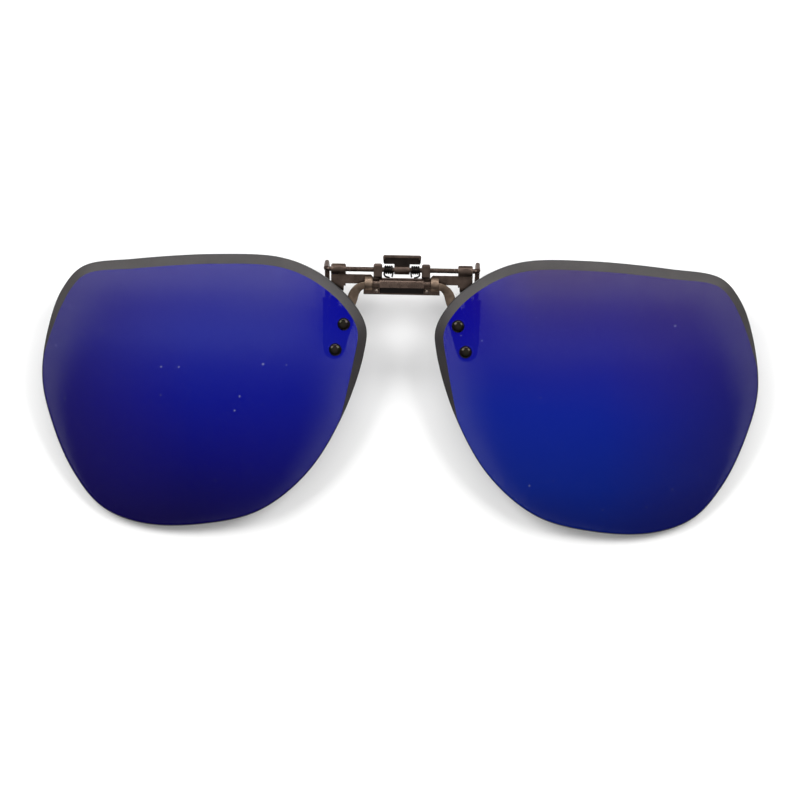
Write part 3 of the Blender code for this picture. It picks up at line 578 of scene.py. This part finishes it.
def soft_cap(name):
    """Black silicone with a faint moulded texture and some lint."""
    n = Nodes(name)
    skin = n.noise(0.00018, 4.0, 0.65)
    cloud = n.noise(0.0025, 2.0)
    n.set(
        base_color=n.mix(n.span(cloud, 0.35, 0.65), (0.010, 0.010, 0.011), (0.022, 0.021, 0.020)),
        roughness=n.span(n.math("ADD", skin, cloud), 0.7, 1.3, 0.48, 0.68),
    )
    n.bump(skin, 0.2, 0.00003)
    return n.made


def clear_nylon(name):
    """Cloudy nylon that lets a little light in."""
    n = Nodes(name)
    cloud = n.noise(0.0008, 3.0)
    n.set(
        base_color=n.mix(n.span(cloud, 0.35, 0.65), (0.50, 0.49, 0.46), (0.66, 0.65, 0.62)),
        roughness=n.span(cloud, 0.3, 0.7, 0.3, 0.45),
        subsurface_weight=0.2,
        subsurface_radius=(0.0006, 0.0006, 0.0006),
    )
    n.bump(n.noise(0.0002), 0.08, 0.00002)
    return n.made


def dark_polish(name):
    """Near-black plated steel, polished, with a brown and green cast in patches."""
    n = Nodes(name)
    cloud = n.noise(0.0011, 3.0)
    fine = n.noise(0.0002, 3.0)
    base = n.mix(n.span(cloud, 0.35, 0.65), (0.012, 0.012, 0.006), (0.020, 0.013, 0.014))
    # brighter edges: partly wear, partly a painted highlight where rims catch the light
    rubbed_and_lit = n.math("MULTIPLY", n.edges(0.00008), n.span(fine, 0.35, 0.65, 0.1, 0.6))
    n.set(
        base_color=n.mix(rubbed_and_lit, base, (0.14, 0.12, 0.10)),
        roughness=n.span(n.math("ADD", cloud, fine), 0.7, 1.3, 0.10, 0.2),
        metallic=0.85,
    )
    n.bump(fine, 0.06, 0.00002)
    return n.made


def floor_finish(name):
    """Matt white card."""
    n = Nodes(name)
    cloud = n.noise(0.09, 3.0)
    n.set(
        base_color=n.mix(n.span(cloud, 0.3, 0.7), (0.86, 0.86, 0.86), (0.88, 0.88, 0.875)),
        roughness=0.7,
        specular_ior_level=0.2,
    )
    return n.made


# ---- lenses ----
def lens_front(x, y):
    """The height of the lens's front over a point."""
    pole_x, pole_y, pole_z = LENS_POLE
    return pole_z - (LENS_BASE_R - np.sqrt(LENS_BASE_R**2 - (x - pole_x) ** 2 - (y - pole_y) ** 2))


def lens_normal(x, y):
    """The way the lens's front faces there."""
    pole_x, pole_y, pole_z = LENS_POLE
    return Vector((x - pole_x, y - pole_y, lens_front(x, y) - pole_z + LENS_BASE_R)).normalized()


RIVET_AXIS = lens_normal(*np.mean(list(RIVETS.values()), axis=0))


def lens_foot(at):
    """Where the rivet line through a point of the front face crosses Z = 0."""
    step = lens_front(*at) / RIVET_AXIS.z
    return at[0] - RIVET_AXIS.x * step, at[1] - RIVET_AXIS.y * step


def rivet_place(at, depth):
    """A frame on a rivet's line, depth below the lens's front."""
    return along(RIVET_AXIS, Vector((*at, lens_front(*at))) - RIVET_AXIS * depth)


def rivet_holes(radius):
    """Cutters for both rivets' holes."""
    return [rod("hole", (*lens_foot(at), 0), radius, -THROUGH, THROUGH, RIVET_AXIS)
            for at in RIVETS.values()]


def facet_width(outline):
    """The front facet's width at each rim point: least low down, and full along the top and the nose."""
    (x0, y0), (x1, y1) = FACET_START
    line = y0 + (outline[:, 0] - x0) * (y1 - y0) / (x1 - x0)
    rise = np.clip((outline[:, 1] - line) / FACET_RUN, 0, 1)
    temple = np.clip((outline[:, 0] - TEMPLE_X[0]) / (TEMPLE_X[1] - TEMPLE_X[0]), 0, 1)
    rise *= 1 - TEMPLE_THINNING * temple
    return np.maximum(FACET_MAX * rise * (1 + FACET_EASE - FACET_EASE * rise), FACET_MIN)


def inset(outline, width):
    """The outline moved inwards by a width, or by each point's own."""
    along_rim = np.roll(outline, -1, axis=0) - np.roll(outline, 1, axis=0)
    along_rim /= np.linalg.norm(along_rim, axis=1)[:, None]
    inward = np.stack([-along_rim[:, 1], along_rim[:, 0]], axis=1)
    return outline + inward * np.reshape(width, (-1, 1))


def make_lens(name):
    """The lens as rings from the back's middle out to the rim and in over the front."""
    outline = closed_spline(LENS_OUTLINE, RIM_POINTS)
    width = facet_width(outline)
    face = inset(outline, width)
    middle = outline.mean(axis=0)
    back_rim = inset(outline, BACK_BEVEL)
    rings = []
    for share in reversed(FACE_SHARES):
        ring = middle + (back_rim - middle) * share
        rings.append((ring, lens_front(*ring.T) - LENS_T, ON_BACK))
    rings.append((back_rim, lens_front(*back_rim.T) - LENS_T, ON_BACK))
    rings.append((outline, lens_front(*outline.T) - LENS_T + BACK_BEVEL, ON_EDGE))
    rings.append((outline, lens_front(*outline.T) - FACET_DROP * width - LIP_DROP, ON_EDGE))
    lip = inset(outline, LIP)
    rings.append((lip, lens_front(*lip.T) - FACET_DROP * (width - LIP), ON_EDGE))
    rings.append((face, lens_front(*face.T), ON_FACET))
    for share in FACE_SHARES:
        ring = middle + (face - middle) * share
        rings.append((ring, lens_front(*ring.T), ON_FRONT))
    bm = bmesh.new()
    rows = [[bm.verts.new((x * MM, y * MM, z * MM)) for (x, y), z in zip(ring, heights)]
            for ring, heights, _ in rings]
    back = bm.verts.new((*(middle * MM), (lens_front(*middle) - LENS_T) * MM))
    front = bm.verts.new((*(middle * MM), lens_front(*middle) * MM))
    for i in range(RIM_POINTS):
        j = (i + 1) % RIM_POINTS
        bm.faces.new((back, rows[0][j], rows[0][i])).material_index = ON_BACK
        for low, high, (_, _, finish) in zip(rows, rows[1:], rings[1:]):
            bm.faces.new((low[i], low[j], high[j], high[i])).material_index = finish
        bm.faces.new((front, rows[-1][i], rows[-1][j])).material_index = ON_FRONT
    lens = from_bmesh(name, bm)
    for finish in (COAT, FACET, EDGE, BACK):
        lens.data.materials.append(finish)
    return combine(lens, rivet_holes(RIVET_R + HOLE_GAP), "DIFFERENCE")


# ---- lens fixings ----
def make_rivet(name, at):
    """A domed head, a stem and the rounded end that is set over the collar."""
    stem = PAD_DEPTH + ARM_T + FACE_GAP + COLLAR_T + RIVET_TAIL
    dome = [(r, LENS_BACK_GAP + RIVET_BRIM + z * (RIVET_HEAD_H - RIVET_BRIM) / RIVET_HEAD_R)
            for r, z in arc((0, 0), RIVET_HEAD_R, 90, 0, 14)]
    dome[0] = (0.0, dome[0][1])
    profile = dome + [(RIVET_HEAD_R, LENS_BACK_GAP + 0.03), (RIVET_HEAD_R - 0.04, LENS_BACK_GAP)]
    profile += [(RIVET_R, LENS_BACK_GAP), (RIVET_R, 0.12 - stem)]
    profile += [(0.52, 0.04 - stem), (0.36, -stem), (0.0, -stem)]
    return turned(name, profile, rivet_place(at, 0.0))


def make_ring(name, at, inner, outer, thickness, depth):
    """A ring with rounded edges round a rivet's stem, its front depth below the lens's front."""
    soft = min(0.08, thickness / 3.5)
    profile = [(inner, -soft / 2), (inner + soft / 2, 0.0)]
    profile += [(outer - soft + x, y - soft) for x, y in arc((0, 0), soft, 90, 0, 5)]
    profile += [(outer - soft + x, soft - thickness + y) for x, y in arc((0, 0), soft, 0, -90, 5)]
    profile += [(inner + soft / 2, -thickness), (inner, soft / 2 - thickness), profile[0]]
    return turned(name, profile, rivet_place(at, depth))


def make_arm(name):
    """A closed eye on the hinge bar's end, a curved strip and the pad that the lens is riveted to."""
    upper, lower = (
        Vector((*at, lens_front(*at))) - RIVET_AXIS * (PAD_DEPTH + ARM_T / 2) for at in RIVETS.values()
    )
    run = (lower - upper).normalized()
    rows = [(EYE_X[1] - EYE_CAP + 0.1, -0.55, -0.3, 1.35), *ARM_SWEEP]
    rows += [(*(upper + run * way), width) for way, width in ARM_FLARE]
    rows = smooth_rows([*rows, (*lower, 2 * ARM_TIP_R)])
    for share in TIP_SHARES:
        rows.append((*(lower + run * ARM_TIP_R * share), 2 * ARM_TIP_R * math.sqrt(1 - share**2)))
    stations = []
    for i, (x, y, z, width) in enumerate(rows):
        face = Z_AXIS.lerp(RIVET_AXIS, min(i / LEAN_ROWS, 1))
        stations.append((Vector((x, y, z)), width, face))
    arm = ribbon(name, stations, ARM_T)
    eye = rod("eye", (0, HINGE_Y, 0), EYE_R, *EYE_X, X_AXIS, soft=0.12)
    combine(arm, [eye], "UNION")
    bore = rod("bore", (0, HINGE_Y, 0), BAR_R + RUN_GAP, EYE_X[0] - 1, EYE_X[1] - EYE_CAP, X_AXIS)
    return combine(arm, [bore, *rivet_holes(RIVET_R + HOLE_GAP)], "DIFFERENCE")


# ---- hinge ----
def make_hinge_bar():
    """A round bar whose middle is square, for the detent spring to hold."""
    bar = rod("pivot_bar", (0, HINGE_Y, 0), BAR_R, -BAR_END_X, BAR_END_X, X_AXIS, soft=0.1)
    flats = []
    for side in (-1, 1):
        for low, high in (((-2, CAM_HALF), (2, 2)), ((CAM_HALF, -2), (2, 2))):
            ends = [(x, HINGE_Y + side * a, side * b) for x, (a, b) in ((-CAM_X, low), (CAM_X, high))]
            flats.append(box("flat", np.min(ends, axis=0), np.max(ends, axis=0)))
    return combine(bar, flats, "DIFFERENCE")


def make_leaf():
    """A bowed leaf between the base frame and the bar's square."""
    top, foot, thick, half = DETENT_TOP, PLATE_FRONT + FACE_GAP, DETENT_T, BAR_R
    upper = [(y, foot + thick + (top - foot - thick) * math.cos(y / half * math.pi / 2) ** 2)
             for y in np.linspace(-half, half, 25)]
    lower = [(y, z - thick) for y, z in reversed(upper)]
    outline = [(y + HINGE_Y, z) for y, z in upper + lower]
    return plate("leaf_spring", [outline], -DETENT_X, DETENT_X, "YZX", soft=0.02)


def make_housing():
    """A sheet folded over the hinge bar, with an ear at each end riveted to the base frame."""
    y, t = HINGE_Y, HOUSING_T
    foot = PLATE_FRONT + FACE_GAP
    shelf, knee = HOUSING_SHELF, foot + t
    inner_r = BAR_R + RUN_GAP + 0.02
    outer_r = inner_r + t
    outer = [(y + outer_r, foot)] + arc((y, 0), outer_r, 0, 90, 20)
    outer += [(y - shelf, outer_r), (y - HOUSING_FOOT, knee), (y - HOUSING_FOOT, foot)]
    inner = [(y - HOUSING_FOOT + t, foot), (y - HOUSING_FOOT + t, knee), (y - shelf + 0.15, inner_r)]
    inner += arc((y, 0), inner_r, 90, 0, 20) + [(y + inner_r, foot)]
    shell = plate("hinge_cover", [outer + inner], -HOUSING_X, HOUSING_X, "YZX", soft=0.06)
    ears = []
    for side in (-1, 1):
        low, high = sorted((side * (EAR_X[0] - 0.1), side * EAR_X[1]))
        outline = [(low, y - HOUSING_FOOT), (high, y - HOUSING_FOOT), (high, y - EAR_TOP)]
        outline.append((low, y - EAR_TOP))
        ears.append(plate("ear", [outline], foot, foot + t, soft=0.05))
    combine(shell, ears, "UNION")
    combine(shell, pin_holes(), "DIFFERENCE")
    # painted shade: the faces turned down the lens, away from the lamps, take the darker bronze
    return paint_shade(shell, FOLDED_METAL, lambda at, way: way.y < -0.6 and at.z > foot)


def pin_holes():
    """Cutters for the two housing rivets' holes."""
    x, y = HOUSING_RIVET
    return [rod("hole", (s * x, y, 0), HOUSING_RIVET_R + FACE_GAP, -4, 1, Z_AXIS, steps=24) for s in (-1, 1)]


def make_pin(name, side):
    """A small rivet with a domed head, peened flush at the frame's back."""
    x, y = HOUSING_RIVET
    top = PLATE_FRONT + FACE_GAP + HOUSING_T + FACE_GAP
    back = PLATE_BACK + FACE_GAP / 2
    r, (head_r, head_h) = HOUSING_RIVET_R, HOUSING_RIVET_HEAD
    head = [(head_r * math.sin(a), top + 0.03 + head_h * math.cos(a))
            for a in np.radians(np.linspace(0, 90, 9))]
    head[0] = (0.0, head[0][1])
    profile = head + [(head_r - 0.02, top), (r, top), (r, back), (0.0, back)]
    return turned(name, profile, Matrix.Translation((side * x * MM, y * MM, 0)), steps=32)


# ---- base frame ----
def make_base_frame():
    """One folded sheet: centre plate, two arms, lugs and hooks round the clamp rod, and the front prongs."""
    hook_in, hook_out = HOOK_X
    arm_low, arm_high = OUTER_ARM_Y
    arm_x = LUG_X[1] + 0.5
    half = [
        (CENTRE_X, CENTRE_Y[0]), (CENTRE_X, CENTRE_Y[1]), (arm_x, CENTRE_Y[1]), (arm_x, arm_low),
        (hook_in, arm_low), (hook_in, WING_Y), (hook_out, WING_Y), (hook_out, arm_high), (arm_x, arm_high),
        (LUG_X[1] - 0.2, WEB_Y), (LUG_X[0] + 0.1, WEB_Y), (LUG_X[0] + 0.1, CENTRE_Y[1] + 0.1),
    ]
    outline = half + [(-x, y) for x, y in reversed(half)]
    base = plate("clip_plate", [outline], PLATE_BACK, PLATE_FRONT)
    extra = []
    for side in (-1, 1):
        extra += [make_hook(side), make_lug(side), make_prong(side)]
    combine(base, extra, "UNION")
    return combine(base, pin_holes(), "DIFFERENCE")


def make_hook(side):
    """The sheet's edge curled forwards right round the rod, its upper corners cut off."""
    centre = (ROD_Y, ROD_Z)
    inner = ROD_Z - PLATE_FRONT
    outer = inner + SHEET
    root = OUTER_ARM_Y[1] - 0.2
    outline = [(root, PLATE_BACK)] + arc(centre, outer, -90, HOOK_END, 40)
    outline += arc(centre, inner, HOOK_END, -90, 40) + [(root, PLATE_FRONT)]
    low, high = sorted((side * HOOK_X[0], side * HOOK_X[1]))
    hook = plate("hook", [outline], low, high, "YZX", soft=0.09)
    return combine(hook, [corner_cutter(low, high, root - 1, ROD_Y + outer)], "INTERSECT")


def corner_cutter(low, high, bottom, top):
    """A block whose upper corners, seen from the front, are cut off."""
    cut = CORNER_CUT
    outline = [(low, bottom), (high, bottom), (high, top - cut), (high - cut, top), (low + cut, top),
               (low, top - cut)]
    return plate("cutter", [outline], -3, 1, soft=0.0)


def make_lug(side):
    """A block folded round the rod, with its corners cut off."""
    (low_y, high_y), front, cut = LUG_Y, LUG_FRONT, CORNER_CUT
    outline = [
        (LUG_ROOT_Y, PLATE_BACK), (high_y - cut, PLATE_BACK), (high_y, PLATE_BACK + cut),
        (high_y, front - cut), (high_y - cut, front), (low_y + cut, front), (low_y, front - cut),
        (low_y, PLATE_FRONT), (LUG_ROOT_Y, PLATE_FRONT),
    ]
    bore = arc((ROD_Y, ROD_Z), ROD_R + RUN_GAP, 0, 352.5, 48)
    low, high = sorted((side * LUG_X[0], side * LUG_X[1]))
    lug = plate("lug", [outline, bore], low, high, "YZX", soft=0.09)
    return combine(lug, [corner_cutter(low, high, -2, high_y)], "INTERSECT")


def make_prong(side):
    """A strip from the outer plate that steps back behind the lens and down, bending outwards."""
    root_z = (PLATE_FRONT + PLATE_BACK) / 2
    line = [
        (-0.5, root_z, 0.0), (-1.3, root_z - 0.05, 0.0), (-2.1, root_z - 0.5, 0.12),
        (-3.2, PRONG_Z + 1.0, 0.5), (-4.1, PRONG_Z + 0.25, 0.88), (-5.0, PRONG_Z, 1.0),
        (PRONG_END, PRONG_Z - 0.1, 1.0),
    ]
    stations = [(Vector((side * (PRONG_X + PRONG_FLARE * share), y, z)), PRONG_W, Z_AXIS)
                for y, z, share in smooth_rows(line)]
    return ribbon("prong", stations, SHEET)


def sleeve_end(waist, radius, start, length, nose):
    """The lower part of a sleeve's profile: it swells from its waist and ends in a domed tip."""
    flank = [(waist + (radius - waist) * t, -start - (length - start - nose) * t)
             for t in (0.25, 0.5, 0.75, 1.0)]
    tip = [(radius * math.cos(a), nose - length - nose * math.sin(a))
           for a in np.radians(np.linspace(10, 90, 12))]
    return flank + tip[:-1] + [(0.0, -length)]


def make_front_sleeve(name):
    """A soft cap over the prong's end: an oval tube with a bead at its mouth and a domed tip."""
    x, top = PRONG_X + PRONG_FLARE, FRONT_SLEEVE_TOP
    half_w, half_t = FRONT_SLEEVE_HALF
    profile = [(0.0, 0.0), (0.86, 0.0), (0.95, -0.05), (1.0, -0.16), (1.0, -0.42), (0.95, -0.55)]
    profile.append((0.93, -0.8))
    profile += sleeve_end(0.93, 1.0, 0.8, top - SLEEVE_TIP_Y, nose=0.9)
    turn = Vector((0, 1, 0)).to_track_quat("Z", "Y").to_matrix().to_4x4()
    sleeve = turned(name, profile, turn)
    sleeve.data.transform(Matrix.Diagonal((half_w, 1, half_t, 1)))
    sleeve.data.transform(Matrix.Translation(Vector((x, top, PRONG_Z - 0.05)) * MM))
    cavity = box(
        "cavity",
        (x - PRONG_W / 2 - SLEEVE_PLAY, PRONG_END - 0.15, PRONG_Z - SHEET / 2 - 0.12 - SLEEVE_PLAY),
        (x + PRONG_W / 2 + SLEEVE_PLAY, top + 1, PRONG_Z + SHEET / 2 + 0.02 + SLEEVE_PLAY),
    )
    return combine(sleeve, [cavity], "DIFFERENCE")


# ---- clamp ----
def claw_corners(side):
    """A claw's line: its end of the rod, its heel and its tip."""
    heel_z = ROD_Z - CLAW_DEPTH
    return [
        Vector((side * CLAW_X, ROD_Y, ROD_Z)), Vector((side * CLAW_X, ROD_Y + CLAW_RISE, heel_z)),
        Vector((side * CLAW_TIP_X, *CLAW_TIP)),
    ]


def make_clamp_wire():
    """One wire: the rod in the middle, bent back at each end and then down as a rear claw."""
    corners = claw_corners(-1)[::-1] + claw_corners(1)
    return wire("claw_wire", rounded_path(corners, CLAW_BEND_R), ROD_R)


def make_rear_sleeve(name):
    """A soft round cap over a claw's end, with a bead at its mouth and a domed tip."""
    _, heel, tip = claw_corners(1)
    run = (tip - heel).normalized()
    start = heel + run * ((REAR_SLEEVE_TOP - heel.y) / run.y)
    end = heel + run * ((SLEEVE_TIP_Y - heel.y) / run.y)
    r = REAR_SLEEVE_R
    bore, depth = ROD_R + 0.04, (tip - start).length + 0.1
    profile = [(0.0, -depth), (bore, -depth), (bore, -0.08), (bore + 0.07, 0.0), (r - 0.16, 0.0)]
    profile += [(r - 0.05, -0.06), (r, -0.18), (r, -0.45), (r - 0.06, -0.58), (r - 0.08, -0.9)]
    profile += sleeve_end(r - 0.08, r, 0.9, (end - start).length, nose=0.85)
    return turned(name, profile, along(-run, start))


def make_thumb_tab():
    """A pressed tray for the thumb on a neck that is crimped round the rod."""
    low, high = TAB_Y
    rim, sheet = TAB_FRONT + TAB_WALL, TAB_SHEET
    tab = plate("thumb_tray", [tray_outline(TAB_X, low, high, TAB_CORNER)], TAB_BACK, rim, soft=0.09)
    hollow = plate("hollow", [tray_outline(TAB_X - sheet, low - 1, high - sheet, 0.15)], TAB_FRONT, rim + 1,
                   soft=0.0)
    slope = [(low - 1, TAB_FRONT), (low, TAB_FRONT), (high - 2 * sheet, rim), (high - 2 * sheet, rim + 1),
             (low - 1, rim + 1)]
    combine(tab, [hollow, plate("slope", [slope], -TAB_X - 1, TAB_X + 1, "YZX", soft=0.0)], "DIFFERENCE")
    neck = [(-NECK_X, ROD_Y - 0.4), (NECK_X, ROD_Y - 0.4), (NECK_X, low + 0.2), (-NECK_X, low + 0.2)]
    crimp = rod("crimp", (0, ROD_Y, ROD_Z), CRIMP_R, -NECK_X, NECK_X, X_AXIS, soft=0.12)
    combine(tab, [plate("neck", [neck], TAB_BACK, TAB_FRONT, soft=0.06), crimp], "UNION")
    bore = rod("bore", (0, ROD_Y, ROD_Z), ROD_R + TAB_PLAY, -THROUGH, THROUGH, X_AXIS)
    combine(tab, [bore], "DIFFERENCE")
    # painted shade: the tray's hollow and the neck's front, below the rim, take the darker bronze
    return paint_shade(tab, SHEET_METAL,
                  lambda at, way: way.z > 0.2 and at.z < rim - 0.05 and at.y > ROD_Y + CRIMP_R)


def tray_outline(half_width, low, high, corner):
    """A tray seen from the front: a little narrower at its foot, with rounded upper corners."""
    half = [(half_width - 0.25, low), (half_width - 0.1, low + 0.3)]
    half += arc((half_width - corner, high - corner), corner, 0, 90, 7)
    return half + [(-x, y) for x, y in reversed(half)]


def coil_point(turns):
    """A point of the right torsion spring's coil, turns from its inner end."""
    angle = math.radians(COIL_START) - 2 * math.pi * turns
    x = COIL_X[0] + (COIL_X[1] - COIL_X[0]) * turns / COIL_TURNS
    return Vector((x, ROD_Y + COIL_R * math.sin(angle), ROD_Z + COIL_R * math.cos(angle)))


def make_torsion_spring(name):
    """A coil round the rod with a long leg on the hinge cover."""
    coil = [coil_point(t) for t in np.linspace(0, COIL_TURNS, COIL_STEPS * COIL_TURNS)]
    tail = coil[-1]
    leg = [tuple(tail)] + [(COIL_X[1] + x, ROD_Y + y, tail.z + z) for x, y, z in LONG_LEG]
    return wire(name, coil[:-1] + [Vector(p) for p in smooth_rows(leg)], SPRING_R, resolution=3)


def make_short_leg(name):
    """The spring's short leg, which bears on the thumb tray's crimp and turns with it."""
    start = coil_point(0)
    x, y, z = SHORT_LEG
    inside = coil_point(0.12) - X_AXIS * 0.02
    leg = [tuple(inside), tuple(start), (start.x + x, ROD_Y + y, start.z + z)]
    return wire(name, [Vector(p) for p in smooth_rows(leg)], SPRING_R, resolution=3)


# ---- stage, light and camera ----
LIGHTS = (  # name, place in metres, size and power; each faces the origin
    ("upper_left", (-0.48, 0.36, 0.6), (0.4, 0.4), 4.6),
    ("upper_right", (0.48, 0.36, 0.6), (0.4, 0.4), 4.6),
    ("top_streak", (0.0, 0.68, 0.42), (0.7, 0.12), 2.6),
)
SKY = ((0.0, 0.72), (0.12, 0.55), (0.4, 0.28), (0.72, 0.45), (1.0, 0.95))  # height, and how bright
DIMMING = (("Y", -0.6, 0.2, 0.25), ("Z", 0.45, 0.75, 0.0))  # axis, from, to, and the least strength
CAMERA_TARGET, CAMERA_SLIDE = Vector((0, 0, 8.0)), Vector((0.07, -1.37, 0))
CAMERA_ROLL, CAMERA_PAN, CAMERA_TIP = -1.12, -0.36, -1.71  # degrees
CAMERA_DISTANCE, CAMERA_LENS = 0.9, 208.2


def make_stage():
    """A flat white floor, large enough that its edge stays out of the views."""
    bm = bmesh.new()
    bmesh.ops.create_grid(bm, x_segments=8, y_segments=8, size=4.0)
    floor = from_bmesh("floor", bm)
    floor.location.z = CAD_BOX[0].z
    floor.data.materials.append(floor_finish("floor_white"))


def make_light(name, place, size, energy):
    """A flat lamp facing the origin."""
    data = bpy.data.lights.new(name, "AREA")
    data.shape = "RECTANGLE"
    data.size, data.size_y = size
    data.energy = energy
    light = add_object(name, data)
    light.location = place
    light.rotation_mode = "QUATERNION"
    light.rotation_quaternion = (-Vector(place)).to_track_quat("-Z", "Y")


def make_world():
    """Bright overhead, a dimmer band above a pale horizon, and darker low down below the lenses."""
    world = bpy.data.worlds.new("studio")
    bpy.context.scene.world = world
    world.use_nodes = True
    tree = world.node_tree
    place = tree.nodes.new("ShaderNodeTexCoord")
    axes = tree.nodes.new("ShaderNodeSeparateXYZ")
    tree.links.new(place.outputs["Generated"], axes.inputs[0])
    ramp = tree.nodes.new("ShaderNodeValToRGB")
    ramp.color_ramp.interpolation = "EASE"
    points = ramp.color_ramp.elements
    while len(points) < len(SKY):
        points.new(0.5)
    for point, (height, grey) in zip(points, SKY):
        point.position = height
        point.color = (grey, grey, grey, 1)
    tree.links.new(axes.outputs["Z"], ramp.inputs["Fac"])
    dim = tree.nodes.new("ShaderNodeMath")
    dim.operation = "MAXIMUM"
    for socket, (letter, low, high, least) in zip(dim.inputs, DIMMING):
        span = tree.nodes.new("ShaderNodeMapRange")
        for field, value in (("From Min", low), ("From Max", high), ("To Min", least), ("To Max", 1.0)):
            span.inputs[field].default_value = value
        tree.links.new(axes.outputs[letter], span.inputs["Value"])
        tree.links.new(span.outputs["Result"], socket)
    background = tree.nodes["Background"]
    tree.links.new(ramp.outputs["Color"], background.inputs["Color"])
    tree.links.new(dim.outputs["Value"], background.inputs["Strength"])


def make_camera():
    """Straight overhead but for a degree or two of tip and roll, through a long lens."""
    roll, pan, tip = (Matrix.Rotation(math.radians(angle), 3, axis) for angle, axis in (
        (CAMERA_ROLL, "Z"), (CAMERA_PAN, "Y"), (CAMERA_TIP, "X")))
    turn = (roll @ pan @ tip).transposed()
    data = bpy.data.cameras.new("camera")
    data.sensor_width = 36
    data.lens = CAMERA_LENS
    data.clip_start, data.clip_end = 0.01, 50
    camera = add_object("camera", data)
    camera.location = CAMERA_TARGET * MM + turn @ (CAMERA_SLIDE * MM + Z_AXIS * CAMERA_DISTANCE)
    camera.rotation_mode = "QUATERNION"
    camera.rotation_quaternion = turn.to_quaternion()
    bpy.context.scene.camera = camera


# ---- making it all ----
COAT, BACK = lens_coat("blue_mirror_coat"), smoke_back("smoke_back")
FACET = ground_rim("ground_facet", (0.026, 0.023, 0.023), (0.038, 0.034, 0.034))
EDGE = ground_rim("ground_edge", (0.010, 0.010, 0.011), (0.019, 0.018, 0.018))
SHEET_METAL = plated_metal("bronze_sheet", (0.066, 0.047, 0.038), (0.20, 0.145, 0.115), 0.34)
FOLDED_METAL = plated_metal("bronze_folded", (0.088, 0.062, 0.050), (0.25, 0.18, 0.145), 0.30)
ARM_METAL = plated_metal("bronze_strap", (0.150, 0.108, 0.080), (0.27, 0.20, 0.15), 0.38)
WIRE_METAL = plated_metal("bronze_wire", (0.060, 0.043, 0.035), (0.15, 0.11, 0.09), 0.24)
# painted shade: a darker copy of the bronze, put on faces in recesses and on faces turned away from the
# lamps
PAINTED_SHADE_METAL = plated_metal("bronze_painted_shade", (0.018, 0.014, 0.012), (0.06, 0.045, 0.037), 0.34)
SPRING_METAL = plated_metal("black_spring", (0.010, 0.009, 0.008), (0.07, 0.062, 0.055), 0.25)
LEAF_METAL = plated_metal("bright_leaf", (0.35, 0.34, 0.32), (0.55, 0.54, 0.52), 0.25)
PIN_METAL = plated_metal("bright_pin", (0.34, 0.28, 0.23), (0.55, 0.47, 0.40), 0.24)
RIVET_METAL = dark_polish("dark_rivet")
CAP, NYLON = soft_cap("black_silicone"), clear_nylon("clear_nylon")


def pair(piece, base, body, nodes, slot, finish=None, **how):
    """Settles a right-hand piece and its mirror image; base and nodes get their side's name."""
    twin = mirror_image(piece, base + "_left")
    piece.name = base + "_right"
    for side, obj in (("_right", piece), ("_left", twin)):
        settle(obj, body, [node + side for node in nodes], slot, finish, **how)


def main():
    """Everything, body by body."""
    bpy.context.scene.view_settings.view_transform = "Standard"
    make_stage()
    make_world()
    for light in LIGHTS:
        make_light(*light)
    make_camera()

    pair(make_lens("coated_lens"), "coated_lens", "flip", ["lens"], "lens", sharp=20, weighted=False)
    pair(make_arm("lens_strap"), "lens_strap", "flip", ["lens_arm"], "arm_metal", ARM_METAL)
    for place, at in RIVETS.items():
        pair(make_rivet("domed_rivet", at), f"domed_rivet_{place}", "flip", [f"lens_rivet_{place}"],
             "rivet_metal", RIVET_METAL)
        washer = make_ring("washer", at, RIVET_R + HOLE_GAP, WASHER_R, WASHER_T, LENS_T + LENS_BACK_GAP)
        pair(washer, f"flat_washer_{place}", "flip", [f"lens_washer_{place}"], "washer_plastic", NYLON)
        collar = make_ring("collar", at, RIVET_R + FACE_GAP, COLLAR_R, COLLAR_T,
                           PAD_DEPTH + ARM_T + FACE_GAP)
        pair(collar, f"set_collar_{place}", "flip", [f"rivet_collar_{place}"], "rivet_metal", RIVET_METAL)
    settle(make_hinge_bar(), "flip", ["hinge_bar"], "wire_metal", FOLDED_METAL)

    settle(make_base_frame(), "clip", ["base_frame"], "frame_metal", SHEET_METAL)
    settle(make_housing(), "clip", ["hinge_housing"], "frame_metal")
    settle(make_leaf(), "clip", ["detent_spring"], "spring_steel", LEAF_METAL)
    for side, name in ((-1, "left"), (1, "right")):
        settle(make_pin(f"pin_{name}", side), "clip", [f"housing_rivet_{name}"], "small_rivet", PIN_METAL)
    pair(make_torsion_spring("coil_spring"), "coil_spring", "clip", ["torsion_spring"], "spring_steel",
         SPRING_METAL)
    pair(make_front_sleeve("prong_cap"), "prong_cap", "clip", ["front_sleeve"], "claw_rubber", CAP)

    settle(make_clamp_wire(), "clamp", ["clamp_rod"], "wire_metal", WIRE_METAL)
    settle(make_thumb_tab(), "clamp", ["thumb_tab"], "frame_metal")
    pair(make_rear_sleeve("claw_cap"), "claw_cap", "clamp", ["rear_sleeve"], "claw_rubber", CAP)
    pair(make_short_leg("spring_leg"), "spring_leg", "clamp", [], "spring_steel", SPRING_METAL)


main()
